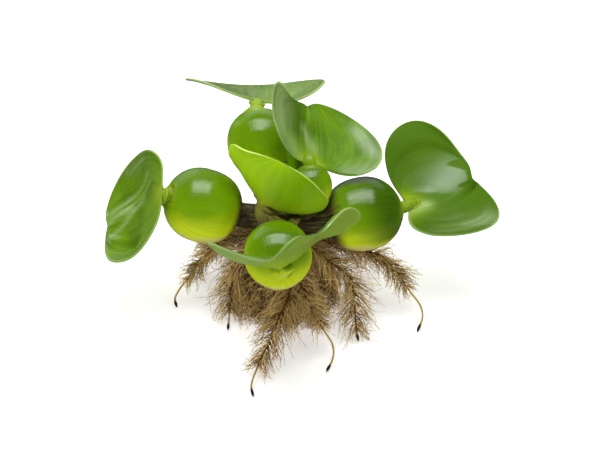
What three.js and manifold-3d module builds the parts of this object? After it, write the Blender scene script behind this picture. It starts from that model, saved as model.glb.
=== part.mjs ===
// A picked water hyacinth: a rosette of swollen leaf stalks and cupped blades on a short crown,
// standing on its own spread roots. Millimetres, +Z up, seen from -Y. The origin is on the surface
// that the plant stands on, straight under the crown.
import * as THREE from "three";
import { mergeVertices } from "three/addons/utils/BufferGeometryUtils.js";
import Module from "manifold-3d";

const wasm = await Module();
wasm.setup();

const DEGREE = Math.PI / 180;
const UP = new THREE.Vector3(0, 0, 1);

// The gap that two touching pieces keep.
const GAP = 0.3;

// Crown: the short upright stem that every leaf and root grows from, ringed by old leaf bases.
const CROWN_TOP = 53;
const CROWN_BOTTOM = 37;
const CROWN_RADIUS = 7.4;
const CROWN_SIDES = 14;
const CROWN_RINGS = 6;
const CROWN_LEAF_BASES = 5;
const CROWN_WAIST = 0.78;
const CROWN_RIDGE = 0.1;

// Leaf stalks: a short stalk, a hollow float and a narrow neck under the blade.
const STALK_SIDES = 13;
const STALK_RINGS = 3;
const FLOAT_RINGS = 9;
const FLOAT_LENGTH_RATIO = 1.04;
const FLOAT_ROUNDNESS = 2.15;
const STALK_RADIUS_RATIO = 0.34;
const NECK_RADIUS = 2.9;
const NECK_SEAT = 1.8;
const NECK_RINGS = 2;

// Shoots: the young leaf's stalk and the bud.
const SHOOT_SIDES = 9;
const SHOOT_RINGS = 5;

// Blades: thick and smooth, with a rim that stays as thick as a card.
const BLADE_THICKNESS = 1.6;
const RIM_THICKNESS = 0.7;
const BLADE_ACROSS = 10;
const BLADE_ALONG = 8;
const BLADE_FULLNESS = 0.85;
const FOLD_START = 0.25;
const CREASE_SOFTNESS = 0.08;
const NOTCH_WIDTH = 0.13;
const OVERLAP_WIDTH = 0.1;
const EAR_PLACE = 0.16;

// Roots: each is a plume of side roots round one main root, and lies on the surface at its tip.
// The side roots sweep towards the tip in tiers, and stop short of the root's bare end. A plume is
// slender at the crown, and its bulge says how soon it reaches its full width.
const PLUME_SIDES = 6;
const PLUME_TIERS = 5;
const PLUME_BULGE = 0.6;
const PLUME_SLENDER = 1.8;
const TIER_WAIST = 0.62;
const TIER_GAP = 0.01;
const BARE_RADIUS = 1.26;
const TIP_RADIUS = 0.63;

// Tuft: the dense middle of the root mass, flat where the plant stands on it.
const TUFT_TOP_RADIUS = 14;
const TUFT_FOOT_RADIUS = 27;
const TUFT_SIDES = 20;
const TUFT_RINGS = 6;
const TUFT_LOCKS = 8;
const TUFT_LOCK_DEPTH = 0.09;
const TUFT_LOCK_TURN = 1.5;

const COLOURS = {
  stalk: 0x6f9c1c,
  youngStalk: 0x9aa552,
  blade: 0x3f8a1c,
  youngBlade: 0x86b01f,
  crown: 0x4a3218,
  root: 0x6b4d2c,
};

// The full-grown leaves. A float's heading and rise point along its axis, away from the crown, and
// it may be fuller on the crown's side.
// A blade's foot is where its neck meets it, its heading and rise point along its midrib, and its
// roll turns it about the midrib. Its half-widths and length are measured along the surface, and
// its lobe is how far its shoulders reach back. The other values, in degrees, bend it: tilt, cup,
// lift, flare and sway across, arch and droop along, twist about the midrib. The last ones, in
// millimetres, are folds that change on the way to the tip: fold, skew, dip, wave, a crease along
// the midrib, a notch in the tip, an overlap of one half over the other, an ear on the right
// shoulder and a fan of broad pleats. Each swell is a round hump or hollow: its side, its reach,
// its size and its height.
const LEAVES = {
  left: {
    stalk: {
      start: [-6, 0, 46.5], centre: [-37.6, 1.1, 53], heading: 192, rise: 26, radius: 17.2, full: 2.7,
    },
    blade: {
      foot: [-55, -3.7, 63], heading: 136.2, rise: -56, roll: -53.3,
      left: 29.6, right: 29.5, length: 43.7, lobe: 4.5,
      tilt: -8, cup: 17.5, lift: 9.3, flare: 17.2, sway: 1.4, arch: 33.8, droop: 7.6, twist: 6.1,
      fold: 24.3, skew: -4.1, dip: 0.1, wave: 3, waves: 1.45, phase: -55.6, crease: -8.4,
      notch: 1.2, overlap: 0.5, fan: 0.69, fans: 3.24, fanPhase: -62,
      swells: [
        [0.3, 0.18, 0.26, 1.8], [-0.79, 0.72, 0.58, 4], [-0.59, 0.62, 0.22, -7.1], [0.61, 0.68, 0.31, -4.5],
      ],
    },
  },
  right: {
    stalk: {
      start: [6, -1.5, 46.5], centre: [37.6, -2.2, 50.3], heading: 10, rise: 4, radius: 17.2, full: 2.4,
    },
    blade: {
      foot: [60.1, 3, 52.1], heading: 34.9, rise: 1.7, roll: 54.3,
      left: 44.1, right: 25.2, length: 36.2, lobe: -4.8,
      tilt: 32, cup: 29, lift: -18.7, flare: -76.5, sway: -6, arch: -26.7, droop: 26.5, twist: 5.5,
      fold: 22.9, skew: 3.2, dip: 3.6, wave: -3.3, waves: 1.6, phase: 58, crease: 5.5,
      notch: 4.9, overlap: -3.9, ear: 9.3, fan: -0.43, fans: 4.9, fanPhase: 76,
      swells: [
        [0, 0.85, 0.21, 4.9], [-0.47, 0.31, 0.31, -2.4], [-0.19, 0.14, 0.31, -5], [0.15, 0.73, 0.44, 5],
      ],
    },
  },
  front: {
    stalk: { start: [-0.5, -6, 46.5], centre: [-1.9, -36.4, 53.6], heading: -86, rise: 13, radius: 15.2 },
    blade: {
      foot: [0.6, -53.3, 61.2], heading: -59.5, rise: 59.2, roll: 27.6,
      left: 37.5, right: 28.9, length: 36.9, lobe: 9.6,
      tilt: 27.1, cup: -14.3, lift: 44.1, flare: 18.3, sway: 28.7, arch: 4.5, droop: -5.4, twist: -9.3,
      fold: -29.5, skew: -19.2, dip: -0.3, wave: 1, waves: 2.77, phase: -6, crease: 4.3,
      notch: 0.95, overlap: 2.6, fan: -0.4, fans: 3.66, fanPhase: -116,
      swells: [
        [0.22, 0.93, 0.53, -2.8], [0.49, 0.61, 0.33, -2.2], [0.51, 0.73, 0.25, -1.2], [0.31, 0.15, 0.27, 2.6],
      ],
    },
  },
  back: {
    stalk: { start: [-3, 4, 50], centre: [-10.4, 22.8, 73.2], heading: 105, rise: 54, radius: 15.6 },
    blade: {
      foot: [-12, 35.9, 87.7], heading: 91.5, rise: -26.4, roll: 6.3,
      left: 35.5, right: 34.2, length: 43.8, lobe: 6,
      tilt: -6, cup: 48.7, lift: 23, flare: -28.5, sway: -4.7, arch: 7.4, droop: -1.8, twist: 13,
      fold: -4.5, skew: -4.6,
    },
  },
  centre: {
    stalk: { start: [3.5, -1, 51], centre: [12.9, -1.5, 65.8], heading: 98, rise: 69, radius: 9.8 },
    blade: {
      foot: [12, 3.4, 78.7], heading: 90, rise: -13, roll: -2,
      left: 25.1, right: 37.3, length: 32.9, lobe: 8.1,
      tilt: -30.5, cup: 53.9, lift: -6.2, flare: -26.6, sway: -9.4, arch: 49, droop: 10.8, twist: -28.8,
      fold: 20.1, skew: 2.7, dip: 3.1, wave: -11.2, waves: 1, phase: 120.6, crease: 21.3,
      notch: 1.6, overlap: 3.8, fan: 0.15, fans: 4.7, fanPhase: 73,
      swells: [
        [-0.11, 0.68, 0.38, 2.2], [0.07, 0.48, 0.37, 0.5], [0.23, 0.66, 0.45, 4.7], [-0.11, 0.15, 0.46, -4.1],
      ],
    },
  },
};

// The young leaf in front of the crown has no float yet, only a short stalk in a sheath.
const YOUNG_STALK = {
  start: [-4.5, -4, 45], middle: [-7.5, -4.8, 53], foot: [-9.1, -4.4, 58.9],
  radius: 5.2, belly: 5.6, tip: 3.4,
};
const YOUNG_BLADE = {
  foot: [-9.1, -4.4, 58.9], heading: -83, rise: 39.2, roll: -25.6,
  left: 30, right: 29, length: 33.7, lobe: 5.4,
  tilt: 17, cup: 45.5, lift: -24, flare: -6.8, sway: 8, arch: 57, droop: 15.8, fold: -5.2, skew: 1.7,
  wave: 2.3, waves: 1.87, phase: 28,
};

// The bud is the youngest leaf, still rolled up between the stalks.
const BUD = {
  start: [1, 3, 50], middle: [4.4, 8.5, 64], foot: [7.2, 11, 80.5], radius: 2.2, belly: 4.6, tip: 1.7,
};

// Each root's route from the crown to its tip, the reach of its side roots, and how far along it
// they go: past that the root is bare.
const ROOTS = {
  outer_left: {
    reach: 9, bareFrom: 0.76,
    route: [
      [-5, 0, 39], [-16, 1, 36], [-28, 0, 32], [-37, -2, 25],
      [-44, -5, 16], [-50, -7, 8], [-52, -9, 4], [-51, -12, 1.5],
    ],
  },
  left: {
    reach: 12, bareFrom: 0.84,
    route: [[-4, -3, 39], [-14, -8, 35], [-22, -9, 30], [-24, -12, 18], [-25, -17, 8], [-26, -28, 1.5]],
  },
  front: {
    reach: 11.5, bareFrom: 0.8,
    route: [
      [0, -5, 39], [2, -20, 33], [3, -33, 28], [0, -40, 24],
      [-6, -49, 14], [-11, -57, 6], [-14, -66, 2], [-13, -72, 1.2],
    ],
  },
  front_right: {
    reach: 9, bareFrom: 0.68,
    route: [
      [3, -4, 39], [6, -18, 34], [9, -30, 29], [13, -35, 22],
      [18, -39, 13], [23, -44, 6], [23, -49, 3], [20, -56, 1.2],
    ],
  },
  right: {
    reach: 12, bareFrom: 0.92,
    route: [[5, -2, 39], [19, -13, 33], [31, -20, 27], [33, -26, 18], [34, -31, 7], [35, -36, 1.5]],
  },
  outer_right: {
    reach: 10, bareFrom: 0.7,
    route: [
      [6, 0, 39], [22, 0, 32], [36, 0, 27], [46, -2, 25], [54, -9, 20],
      [60, -14, 13], [65, -16, 6], [66, -20, 3], [63, -29, 1.2],
    ],
  },
  left_back: {
    reach: 8, bareFrom: 0.86,
    route: [[-5, 2, 39], [-16, 5, 34], [-28, 8, 25], [-39, 13, 12], [-44, 16, 4], [-47, 18, 1.5]],
  },
  back_left: {
    reach: 9, bareFrom: 0.86,
    route: [[-3, 4, 39], [-14, 11, 33], [-26, 20, 22], [-36, 30, 10], [-42, 37, 3], [-44, 43, 1.5]],
  },
  back: {
    reach: 10, bareFrom: 0.86,
    route: [[0, 5, 39], [-3, 13, 34], [-6, 26, 22], [-8, 40, 9], [-9, 50, 3], [-7, 57, 1.5]],
  },
  back_right: {
    reach: 9, bareFrom: 0.86,
    route: [[3, 4, 39], [12, 12, 33], [24, 21, 22], [34, 31, 10], [40, 38, 3], [44, 42, 1.5]],
  },
  right_back: {
    reach: 8, bareFrom: 0.86,
    route: [[5, 2, 39], [17, 6, 33], [30, 11, 23], [42, 16, 11], [49, 20, 4], [52, 22, 1.5]],
  },
};

// A point from a list of three numbers.
const point = (xyz) => new THREE.Vector3(...xyz);

// A unit vector from a heading, counter-clockwise from +X, and a rise above the horizontal.
function direction(heading, rise) {
  const turn = heading * DEGREE;
  const level = Math.cos(rise * DEGREE);
  return new THREE.Vector3(level * Math.cos(turn), level * Math.sin(turn), Math.sin(rise * DEGREE));
}

// Walks along a line whose slope, in degrees, depends on the distance walked, and returns how far
// along and how far up it ends.
function walk(distance, slopeAt) {
  const steps = 20;
  const step = distance / steps;
  let along = 0;
  let up = 0;
  for (let i = 0; i < steps; i += 1) {
    const slope = slopeAt((i + 0.5) * step) * DEGREE;
    along += Math.cos(slope) * step;
    up += Math.sin(slope) * step;
  }
  return [along, up];
}

// A closed mesh from points and triangles, turned so that its faces point out.
function closedMesh(points, triangles) {
  let sixVolumes = 0;
  for (const [a, b, c] of triangles) {
    sixVolumes += points[a].dot(new THREE.Vector3().crossVectors(points[b], points[c]));
  }
  const index = triangles.flatMap(([a, b, c]) => (sixVolumes > 0 ? [a, b, c] : [a, c, b]));
  const geometry = new THREE.BufferGeometry();
  const numbers = points.flatMap((p) => p.toArray());
  geometry.setAttribute("position", new THREE.Float32BufferAttribute(numbers, 3));
  geometry.setIndex(index);
  return geometry;
}

// A solid for joining and cutting, from a closed mesh.
function solidOf(geometry) {
  geometry.deleteAttribute("normal");
  geometry.deleteAttribute("uv");
  const merged = mergeVertices(geometry, 1e-4);
  return new wasm.Manifold(new wasm.Mesh({
    numProp: 3,
    vertProperties: new Float32Array(merged.attributes.position.array),
    triVerts: new Uint32Array(merged.index.array),
  }));
}

// A solid through a row of closed rings with the same number of points, capped at both ends.
function loft(rings) {
  const sides = rings[0].length;
  const points = rings.flat();
  const triangles = [];
  for (let ring = 0; ring + 1 < rings.length; ring += 1) {
    for (let side = 0; side < sides; side += 1) {
      const next = (side + 1) % sides;
      const a = ring * sides + side;
      const b = ring * sides + next;
      triangles.push([a, b, b + sides], [a, b + sides, a + sides]);
    }
  }
  const ends = [rings[0], rings.at(-1)];
  ends.forEach((ring, end) => {
    const middle = ring.reduce((sum, p) => sum.add(p), new THREE.Vector3()).divideScalar(sides);
    const first = end * (rings.length - 1) * sides;
    points.push(middle);
    for (let side = 0; side < sides; side += 1) {
      const edge = [first + side, first + ((side + 1) % sides)];
      if (end === 0) {
        edge.reverse();
      }
      triangles.push([...edge, points.length - 1]);
    }
  });
  return solidOf(closedMesh(points, triangles));
}

// A ring of points round a centre, square to an axis. The radius may depend on the angle.
function ringAround(centre, axis, sides, radiusAt) {
  const sideways = new THREE.Vector3(-axis.y, axis.x, 0);
  if (sideways.length() < 0.05) {
    sideways.set(1, 0, 0);
  }
  sideways.normalize();
  const upwards = new THREE.Vector3().crossVectors(axis, sideways).normalize();
  return Array.from({ length: sides }, (_, side) => {
    const angle = (side / sides) * 2 * Math.PI;
    const radius = radiusAt(angle);
    return centre.clone()
      .addScaledVector(sideways, radius * Math.cos(angle))
      .addScaledVector(upwards, radius * Math.sin(angle));
  });
}

// A blade's directions at its foot: along its midrib, across it, and out of its upper face.
function bladeAxes(blade) {
  const midrib = direction(blade.heading, blade.rise);
  const level = direction(blade.heading, blade.rise + 90);
  const flat = new THREE.Vector3().crossVectors(midrib, level);
  const roll = blade.roll * DEGREE;
  const face = level.clone().multiplyScalar(Math.cos(roll)).addScaledVector(flat, Math.sin(roll));
  return { midrib, face, width: new THREE.Vector3().crossVectors(midrib, face) };
}

// A leaf stalk: from the crown to the float, over the float, and through the neck to the blade.
function stalkSolid({ stalk, blade }, extra) {
  const start = point(stalk.start);
  const centre = point(stalk.centre);
  const { midrib, face } = bladeAxes(blade);
  const foot = point(blade.foot).addScaledVector(face, -NECK_SEAT);
  const axis = direction(stalk.heading, stalk.rise);
  const half = stalk.radius * FLOAT_LENGTH_RATIO;
  const nearPole = centre.clone().addScaledVector(axis, -half);
  const farPole = centre.clone().addScaledVector(axis, half);
  const stalkRadius = stalk.radius * STALK_RADIUS_RATIO;
  const rings = [];
  const intoFloat = new THREE.Vector3().subVectors(nearPole, start).normalize();
  for (let i = 0; i < STALK_RINGS; i += 1) {
    const place = start.clone().lerp(nearPole, i / STALK_RINGS);
    rings.push(ringAround(place, intoFloat, STALK_SIDES, () => stalkRadius + extra));
  }
  for (let i = 0; i <= FLOAT_RINGS; i += 1) {
    const along = -Math.cos((i / FLOAT_RINGS) * Math.PI);
    const roundness = along < 0 && stalk.full ? stalk.full : FLOAT_ROUNDNESS;
    const swell = stalk.radius * Math.sqrt(Math.max(0, 1 - Math.abs(along) ** roundness));
    const least = along < 0 ? stalkRadius : NECK_RADIUS;
    const place = centre.clone().addScaledVector(axis, along * half);
    rings.push(ringAround(place, axis, STALK_SIDES, () => Math.max(swell, least) + extra));
  }
  const neckAxis = new THREE.Vector3().subVectors(foot, farPole).normalize().add(axis).normalize();
  for (let i = 1; i <= NECK_RINGS; i += 1) {
    const place = farPole.clone().lerp(foot, i / NECK_RINGS);
    place.addScaledVector(neckAxis, i === NECK_RINGS ? extra : 0);
    rings.push(ringAround(place, neckAxis, STALK_SIDES, () => NECK_RADIUS + extra));
  }
  return loft(rings);
}

// A short stalk or bud on a bent line: its radius swells from the start to the middle.
function shootSolid({ start, middle, foot, radius, belly = radius, tip }, extra) {
  const curve = new THREE.CatmullRomCurve3([point(start), point(middle), point(foot)]);
  const rings = [];
  for (let i = 0; i <= SHOOT_RINGS; i += 1) {
    const part = i / SHOOT_RINGS;
    const end = part < 0.5 ? radius : tip;
    const width = end + (belly - end) * Math.sin(part * Math.PI);
    const place = curve.getPointAt(part);
    rings.push(ringAround(place, curve.getTangentAt(part), SHOOT_SIDES, () => width + extra));
  }
  return loft(rings);
}

// A point on a blade's middle surface. Side runs from -1 to 1 across, reach from 0 at the foot to
// 1 at the tip. The outline is nearly round: the width follows a sine of the reach.
function bladePoint(blade, side, reach) {
  const { lift = 0, flare = 0, sway = 0, twist = 0 } = blade;
  const { fold = 0, skew = 0, dip = 0, wave = 0, waves = 1.5, phase = 0, crease = 0 } = blade;
  const { notch = 0, overlap: lap = 0, ear = 0, fan = 0, fans = 4, fanPhase = 0, swells = [] } = blade;
  const swell = Math.sin(Math.PI * reach);
  const share = side * Math.abs(swell) ** BLADE_FULLNESS;
  const half = side < 0 ? blade.left : blade.right;
  const [across, rise] = walk(share * half, (distance) => {
    const q = distance / half;
    return blade.tilt + blade.cup * q + lift * q ** 2 + flare * q ** 3 + sway * Math.sin(Math.PI * q);
  });
  const back = ear * Math.max(0, side) ** 2 * (reach / EAR_PLACE) * Math.exp(1 - reach / EAR_PLACE);
  const shoulder = blade.lobe * side ** 2 * swell ** 2 * (1 - reach) * 2 + back;
  const whole = (1 - Math.cos(Math.PI * reach)) / 2;
  const dent = notch * Math.exp(-((share / NOTCH_WIDTH) ** 2)) * whole ** 6;
  const along = blade.length * whole - shoulder - dent;
  const partWay = THREE.MathUtils.clamp(along / blade.length, 0, 1);
  const turn = twist * DEGREE * partWay;
  const past = partWay - FOLD_START;
  const ripple = wave * side ** 2 * swell * Math.sin(2 * Math.PI * waves * reach + phase * DEGREE);
  const pleat = fan * Math.cos(Math.PI * fans * side + fanPhase * DEGREE) * swell * partWay;
  const keel = crease * (Math.hypot(share, CREASE_SOFTNESS) - CREASE_SOFTNESS) * partWay;
  const lapped = lap * Math.tanh(share / OVERLAP_WIDTH) * partWay ** 3;
  const humps = swells.reduce((sum, [place, onward, size, height]) => (
    sum + height * Math.exp(-((share - place) ** 2 + (partWay - onward) ** 2) / size ** 2)
  ), 0);
  const x = across * Math.cos(turn) - rise * Math.sin(turn);
  const z = across * Math.sin(turn) + rise * Math.cos(turn) + ripple + pleat + keel + lapped + humps
    + (fold * share ** 2 + skew * share ** 3) * past + 4 * dip * share ** 2 * past ** 2;
  const slopeAt = (distance) => {
    const v = THREE.MathUtils.clamp(distance / blade.length, 0, 1.2);
    return blade.arch * v + blade.droop * v ** 2;
  };
  const [forward, up] = walk(along, slopeAt);
  const slope = slopeAt(along) * DEGREE;
  const { midrib, face, width } = bladeAxes(blade);
  return point(blade.foot)
    .addScaledVector(width, x)
    .addScaledVector(midrib, forward - z * Math.sin(slope))
    .addScaledVector(face, up + z * Math.cos(slope));
}

// The direction that the blade's upper face looks in at a point.
function bladeNormal(blade, side, reach) {
  const s = THREE.MathUtils.clamp(side, -0.97, 0.97);
  const t = THREE.MathUtils.clamp(reach, 0.04, 0.96);
  const step = 0.02;
  const acrossIt = bladePoint(blade, s + step, t).sub(bladePoint(blade, s - step, t));
  const alongIt = bladePoint(blade, s, t + step).sub(bladePoint(blade, s, t - step));
  return new THREE.Vector3().crossVectors(acrossIt, alongIt).normalize();
}

// A blade with two faces and a rim. All the points across meet in one at the foot and at the tip.
function bladeSolid(blade) {
  const points = [];
  const faceRow = (face, j) => {
    const pole = j === 0 || j === BLADE_ALONG;
    const columns = pole ? [BLADE_ACROSS / 2] : Array.from({ length: BLADE_ACROSS + 1 }, (_, i) => i);
    const ids = columns.map((i) => {
      const side = -Math.cos((i / BLADE_ACROSS) * Math.PI);
      const reach = j / BLADE_ALONG;
      const middle = (1 - side ** 2) * Math.sin(Math.PI * reach);
      const thickness = RIM_THICKNESS + (BLADE_THICKNESS - RIM_THICKNESS) * middle;
      const offset = bladeNormal(blade, side, reach).multiplyScalar((face * thickness) / 2);
      points.push(bladePoint(blade, side, reach).add(offset));
      return points.length - 1;
    });
    return pole ? Array(BLADE_ACROSS + 1).fill(ids[0]) : ids;
  };
  const rows = Array.from({ length: BLADE_ALONG + 1 }, (_, j) => j);
  const top = rows.map((j) => faceRow(1, j));
  const under = rows.map((j) => faceRow(-1, j));
  const triangles = [];
  const quad = (a, b, c, d) => triangles.push([a, b, c], [a, c, d]);
  for (let j = 0; j < BLADE_ALONG; j += 1) {
    for (let i = 0; i < BLADE_ACROSS; i += 1) {
      quad(top[j][i], top[j][i + 1], top[j + 1][i + 1], top[j + 1][i]);
      quad(under[j][i], under[j + 1][i], under[j + 1][i + 1], under[j][i + 1]);
    }
    quad(top[j][0], top[j + 1][0], under[j + 1][0], under[j][0]);
    const end = BLADE_ACROSS;
    quad(top[j][end], under[j][end], under[j + 1][end], top[j + 1][end]);
  }
  const real = triangles.filter(([a, b, c]) => a !== b && b !== c && c !== a);
  return solidOf(closedMesh(points, real));
}

// The crown: a stubby stem, swollen where the leaf bases clasp it.
function crownSolid(extra) {
  const rings = [];
  for (let i = 0; i <= CROWN_RINGS; i += 1) {
    const part = i / CROWN_RINGS;
    const height = CROWN_BOTTOM - extra + (CROWN_TOP - CROWN_BOTTOM + 2 * extra) * part;
    const taper = CROWN_WAIST + (1 - CROWN_WAIST) * Math.sin(Math.PI * (0.15 + 0.7 * part));
    const centre = new THREE.Vector3(0, 0, height);
    rings.push(ringAround(centre, UP, CROWN_SIDES, (angle) => (
      CROWN_RADIUS * taper * (1 + CROWN_RIDGE * Math.cos(CROWN_LEAF_BASES * angle + 2 * part)) + extra
    )));
  }
  return loft(rings);
}

// The tuft: a mound of matted roots in ragged locks, with a flat foot.
function tuftSolid(extra) {
  const top = CROWN_BOTTOM - GAP + extra;
  const rings = [];
  for (let i = 0; i <= TUFT_RINGS; i += 1) {
    const part = i / TUFT_RINGS;
    const widening = Math.sin((part * Math.PI) / 2);
    const spread = TUFT_TOP_RADIUS + (TUFT_FOOT_RADIUS - TUFT_TOP_RADIUS) * widening;
    const centre = new THREE.Vector3(0, 0, top * (1 - part));
    rings.push(ringAround(centre, UP, TUFT_SIDES, (angle) => (
      spread * (1 + TUFT_LOCK_DEPTH * part * Math.cos(TUFT_LOCKS * angle + TUFT_LOCK_TURN * part)) + extra
    )));
  }
  return loft(rings);
}

// A root plume: tiers of side roots, each wider towards the tip, then the bare end of the root.
function plumeSolid({ route, reach, bareFrom }, extra) {
  const curve = new THREE.CatmullRomCurve3(route.map(point), false, "centripetal");
  const rings = [];
  const addRing = (part, radius) => {
    const along = curve.getTangentAt(part);
    rings.push(ringAround(curve.getPointAt(part), along, PLUME_SIDES, () => radius + extra));
  };
  for (let tier = 0; tier < PLUME_TIERS; tier += 1) {
    const from = (bareFrom * tier) / PLUME_TIERS;
    const to = (bareFrom * (tier + 1)) / PLUME_TIERS;
    const shape = Math.sin(Math.PI * (0.12 + 0.8 * (to / bareFrom))) ** PLUME_BULGE;
    const widest = Math.max(PLUME_SLENDER, reach * shape);
    addRing(from + TIER_GAP / 5, widest * TIER_WAIST);
    addRing(to - TIER_GAP, widest);
  }
  addRing(bareFrom + TIER_GAP, BARE_RADIUS);
  addRing(1, TIP_RADIUS);
  return loft(rings);
}

// Everything above the surface that the plant stands on.
const aboveSurface = solidOf(new THREE.BoxGeometry(400, 400, 200).translate(0, 0, 100));

// Pieces in the order that they are fitted. A later piece gives way to the earlier ones by the gap.
const fitted = [];

function overlap(a, b) {
  const [one, other] = [a.boundingBox(), b.boundingBox()];
  return [0, 1, 2].every((axis) => one.min[axis] < other.max[axis] && other.min[axis] < one.max[axis]);
}

function fit(name, colour, solid, swollen) {
  let shape = solid;
  for (const earlier of fitted) {
    if (overlap(shape, earlier.swollen)) {
      shape = shape.subtract(earlier.swollen);
    }
  }
  const whole = shape.decompose().sort((a, b) => b.volume() - a.volume())[0];
  fitted.push({ name, colour, solid: whole, swollen });
}

fit("crown", COLOURS.crown, crownSolid(0), crownSolid(GAP));
for (const [name, leaf] of Object.entries(LEAVES)) {
  fit(`stalk_${name}`, COLOURS.stalk, stalkSolid(leaf, 0), stalkSolid(leaf, GAP));
}
fit("stalk_young", COLOURS.youngStalk, shootSolid(YOUNG_STALK, 0), shootSolid(YOUNG_STALK, GAP));
fit("bud", COLOURS.youngStalk, shootSolid(BUD, 0), shootSolid(BUD, GAP));
for (const [name, leaf] of Object.entries(LEAVES)) {
  fit(`blade_${name}`, COLOURS.blade, bladeSolid(leaf.blade), bladeSolid(leaf.blade));
}
fit("blade_young", COLOURS.youngBlade, bladeSolid(YOUNG_BLADE), bladeSolid(YOUNG_BLADE));
fit("root_tuft", COLOURS.root, tuftSolid(0), tuftSolid(GAP));
for (const [name, root] of Object.entries(ROOTS)) {
  const clipped = plumeSolid(root, 0).intersect(aboveSurface);
  fit(`root_${name}`, COLOURS.root, clipped, plumeSolid(root, GAP));
}

// A drawable mesh from a finished solid.
function meshOf({ name, colour, solid }) {
  const { vertProperties, triVerts } = solid.getMesh();
  const geometry = new THREE.BufferGeometry();
  geometry.setAttribute("position", new THREE.BufferAttribute(new Float32Array(vertProperties), 3));
  geometry.setIndex(new THREE.BufferAttribute(new Uint32Array(triVerts), 1));
  geometry.computeVertexNormals();
  const roughness = name.startsWith("root") || name === "crown" ? 0.9 : 0.4;
  const material = new THREE.MeshStandardMaterial({ color: colour, roughness, metalness: 0 });
  const mesh = new THREE.Mesh(geometry, material);
  mesh.name = name;
  return mesh;
}

const plant = new THREE.Group();
fitted.forEach((piece) => plant.add(meshOf(piece)));

export default plant;
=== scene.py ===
"""A picked water hyacinth on a pale floor.

The plant stands on its own spread roots. Lengths are in millimetres until a mesh is made, which is
in metres. The surface that the plant stands on is z = 0, and its crown is over the origin.
"""

import bpy
import numpy as np
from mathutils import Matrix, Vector


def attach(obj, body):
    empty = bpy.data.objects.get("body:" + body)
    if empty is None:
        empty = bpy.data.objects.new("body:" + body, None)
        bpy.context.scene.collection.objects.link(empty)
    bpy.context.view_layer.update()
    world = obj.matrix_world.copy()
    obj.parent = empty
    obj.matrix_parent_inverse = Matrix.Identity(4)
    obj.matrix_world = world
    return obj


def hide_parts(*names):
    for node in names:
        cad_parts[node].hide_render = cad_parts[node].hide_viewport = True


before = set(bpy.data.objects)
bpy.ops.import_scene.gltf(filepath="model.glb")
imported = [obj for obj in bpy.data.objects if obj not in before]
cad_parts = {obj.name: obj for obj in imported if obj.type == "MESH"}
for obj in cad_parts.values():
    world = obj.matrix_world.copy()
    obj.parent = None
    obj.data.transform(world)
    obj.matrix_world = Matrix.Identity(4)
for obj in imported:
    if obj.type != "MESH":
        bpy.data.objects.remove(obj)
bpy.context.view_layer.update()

MM = 0.001

# Camera
# The plant is seen from the front and from well above the floor, through a long lens. One pixel of
# a picture 600 pixels wide is 0.467 mm at the crown.
CAMERA_RISE = np.radians(38)
CAMERA_DISTANCE = 700
PICTURE_WIDTH = 600 * 0.467
SENSOR_WIDTH = 36
CROWN_MIDDLE = np.array([0, 0, 45])
CROWN_LEFT_OF_AIM = 7.9
CROWN_ABOVE_AIM = 2.3

to_camera = np.array([0, -np.cos(CAMERA_RISE), np.sin(CAMERA_RISE)])
picture_up = np.array([0, np.sin(CAMERA_RISE), np.cos(CAMERA_RISE)])
picture_right = np.array([1, 0, 0])
aim = CROWN_MIDDLE + CROWN_LEFT_OF_AIM * picture_right - CROWN_ABOVE_AIM * picture_up

lens = bpy.data.cameras.new("camera")
lens.sensor_width = SENSOR_WIDTH
lens.lens = SENSOR_WIDTH * CAMERA_DISTANCE / PICTURE_WIDTH
camera = bpy.data.objects.new("camera", lens)
camera.location = (aim + CAMERA_DISTANCE * to_camera) * MM
camera.rotation_euler = (np.pi / 2 - CAMERA_RISE, 0, 0)
bpy.context.collection.objects.link(camera)
bpy.context.scene.camera = camera
bpy.context.scene.view_settings.view_transform = "Standard"

# Floor and light
# A plain pale floor that runs out of the picture on every side, lit a little from inside so that
# its shadows stay faint, under one soft overhead lamp, a weaker one behind, and a white sky. Floor
# and sky are dim in reflections, so that the leaves stay deep green.
FLOOR_SIZE = 8000
FLOOR_COLOUR = (0.9, 0.9, 0.9, 1)
FLOOR_REFLECTED = 0.05
FLOOR_GLOW = 0.42
FLOOR_ROUGHNESS = 0.9
SKY_SEEN = 1.0
SKY_STRENGTH = 0.6
SKY_REFLECTED = 0.02
LAMPS = {
    "overhead": {"place": (0, 35, 380), "size": (300, 240), "radiance": 5.4},
    "behind": {"place": (-150, 800, 330), "size": (1500, 620), "radiance": 0.8},
}


def add_node(tree, kind, settings=None, **values):
    """A node of a kind, with its settings and with values or links for its inputs. An input is
    named with underscores for its spaces, or numbered after one underscore."""
    made = tree.nodes.new(kind)
    for key, value in (settings or {}).items():
        setattr(made, key, value)
    for key, value in values.items():
        socket = made.inputs[int(key[1:])] if key[0] == "_" else made.inputs[key.replace("_", " ")]
        if isinstance(value, bpy.types.NodeSocket):
            tree.links.new(value, socket)
        else:
            socket.default_value = value
    return made


def new_material(name):
    """A material with an empty node tree, and that tree."""
    material = bpy.data.materials.new(name)
    material.use_nodes = True
    material.node_tree.nodes.clear()
    return material, material.node_tree


def add_skin(tree, body, roughness, **more):
    """A material's surface, with its colour, its roughness and more values or links by name."""
    shader = add_node(tree, "ShaderNodeBsdfPrincipled", Base_Color=body, Roughness=roughness, **more)
    add_node(tree, "ShaderNodeOutputMaterial", Surface=shader.outputs["BSDF"])


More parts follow.
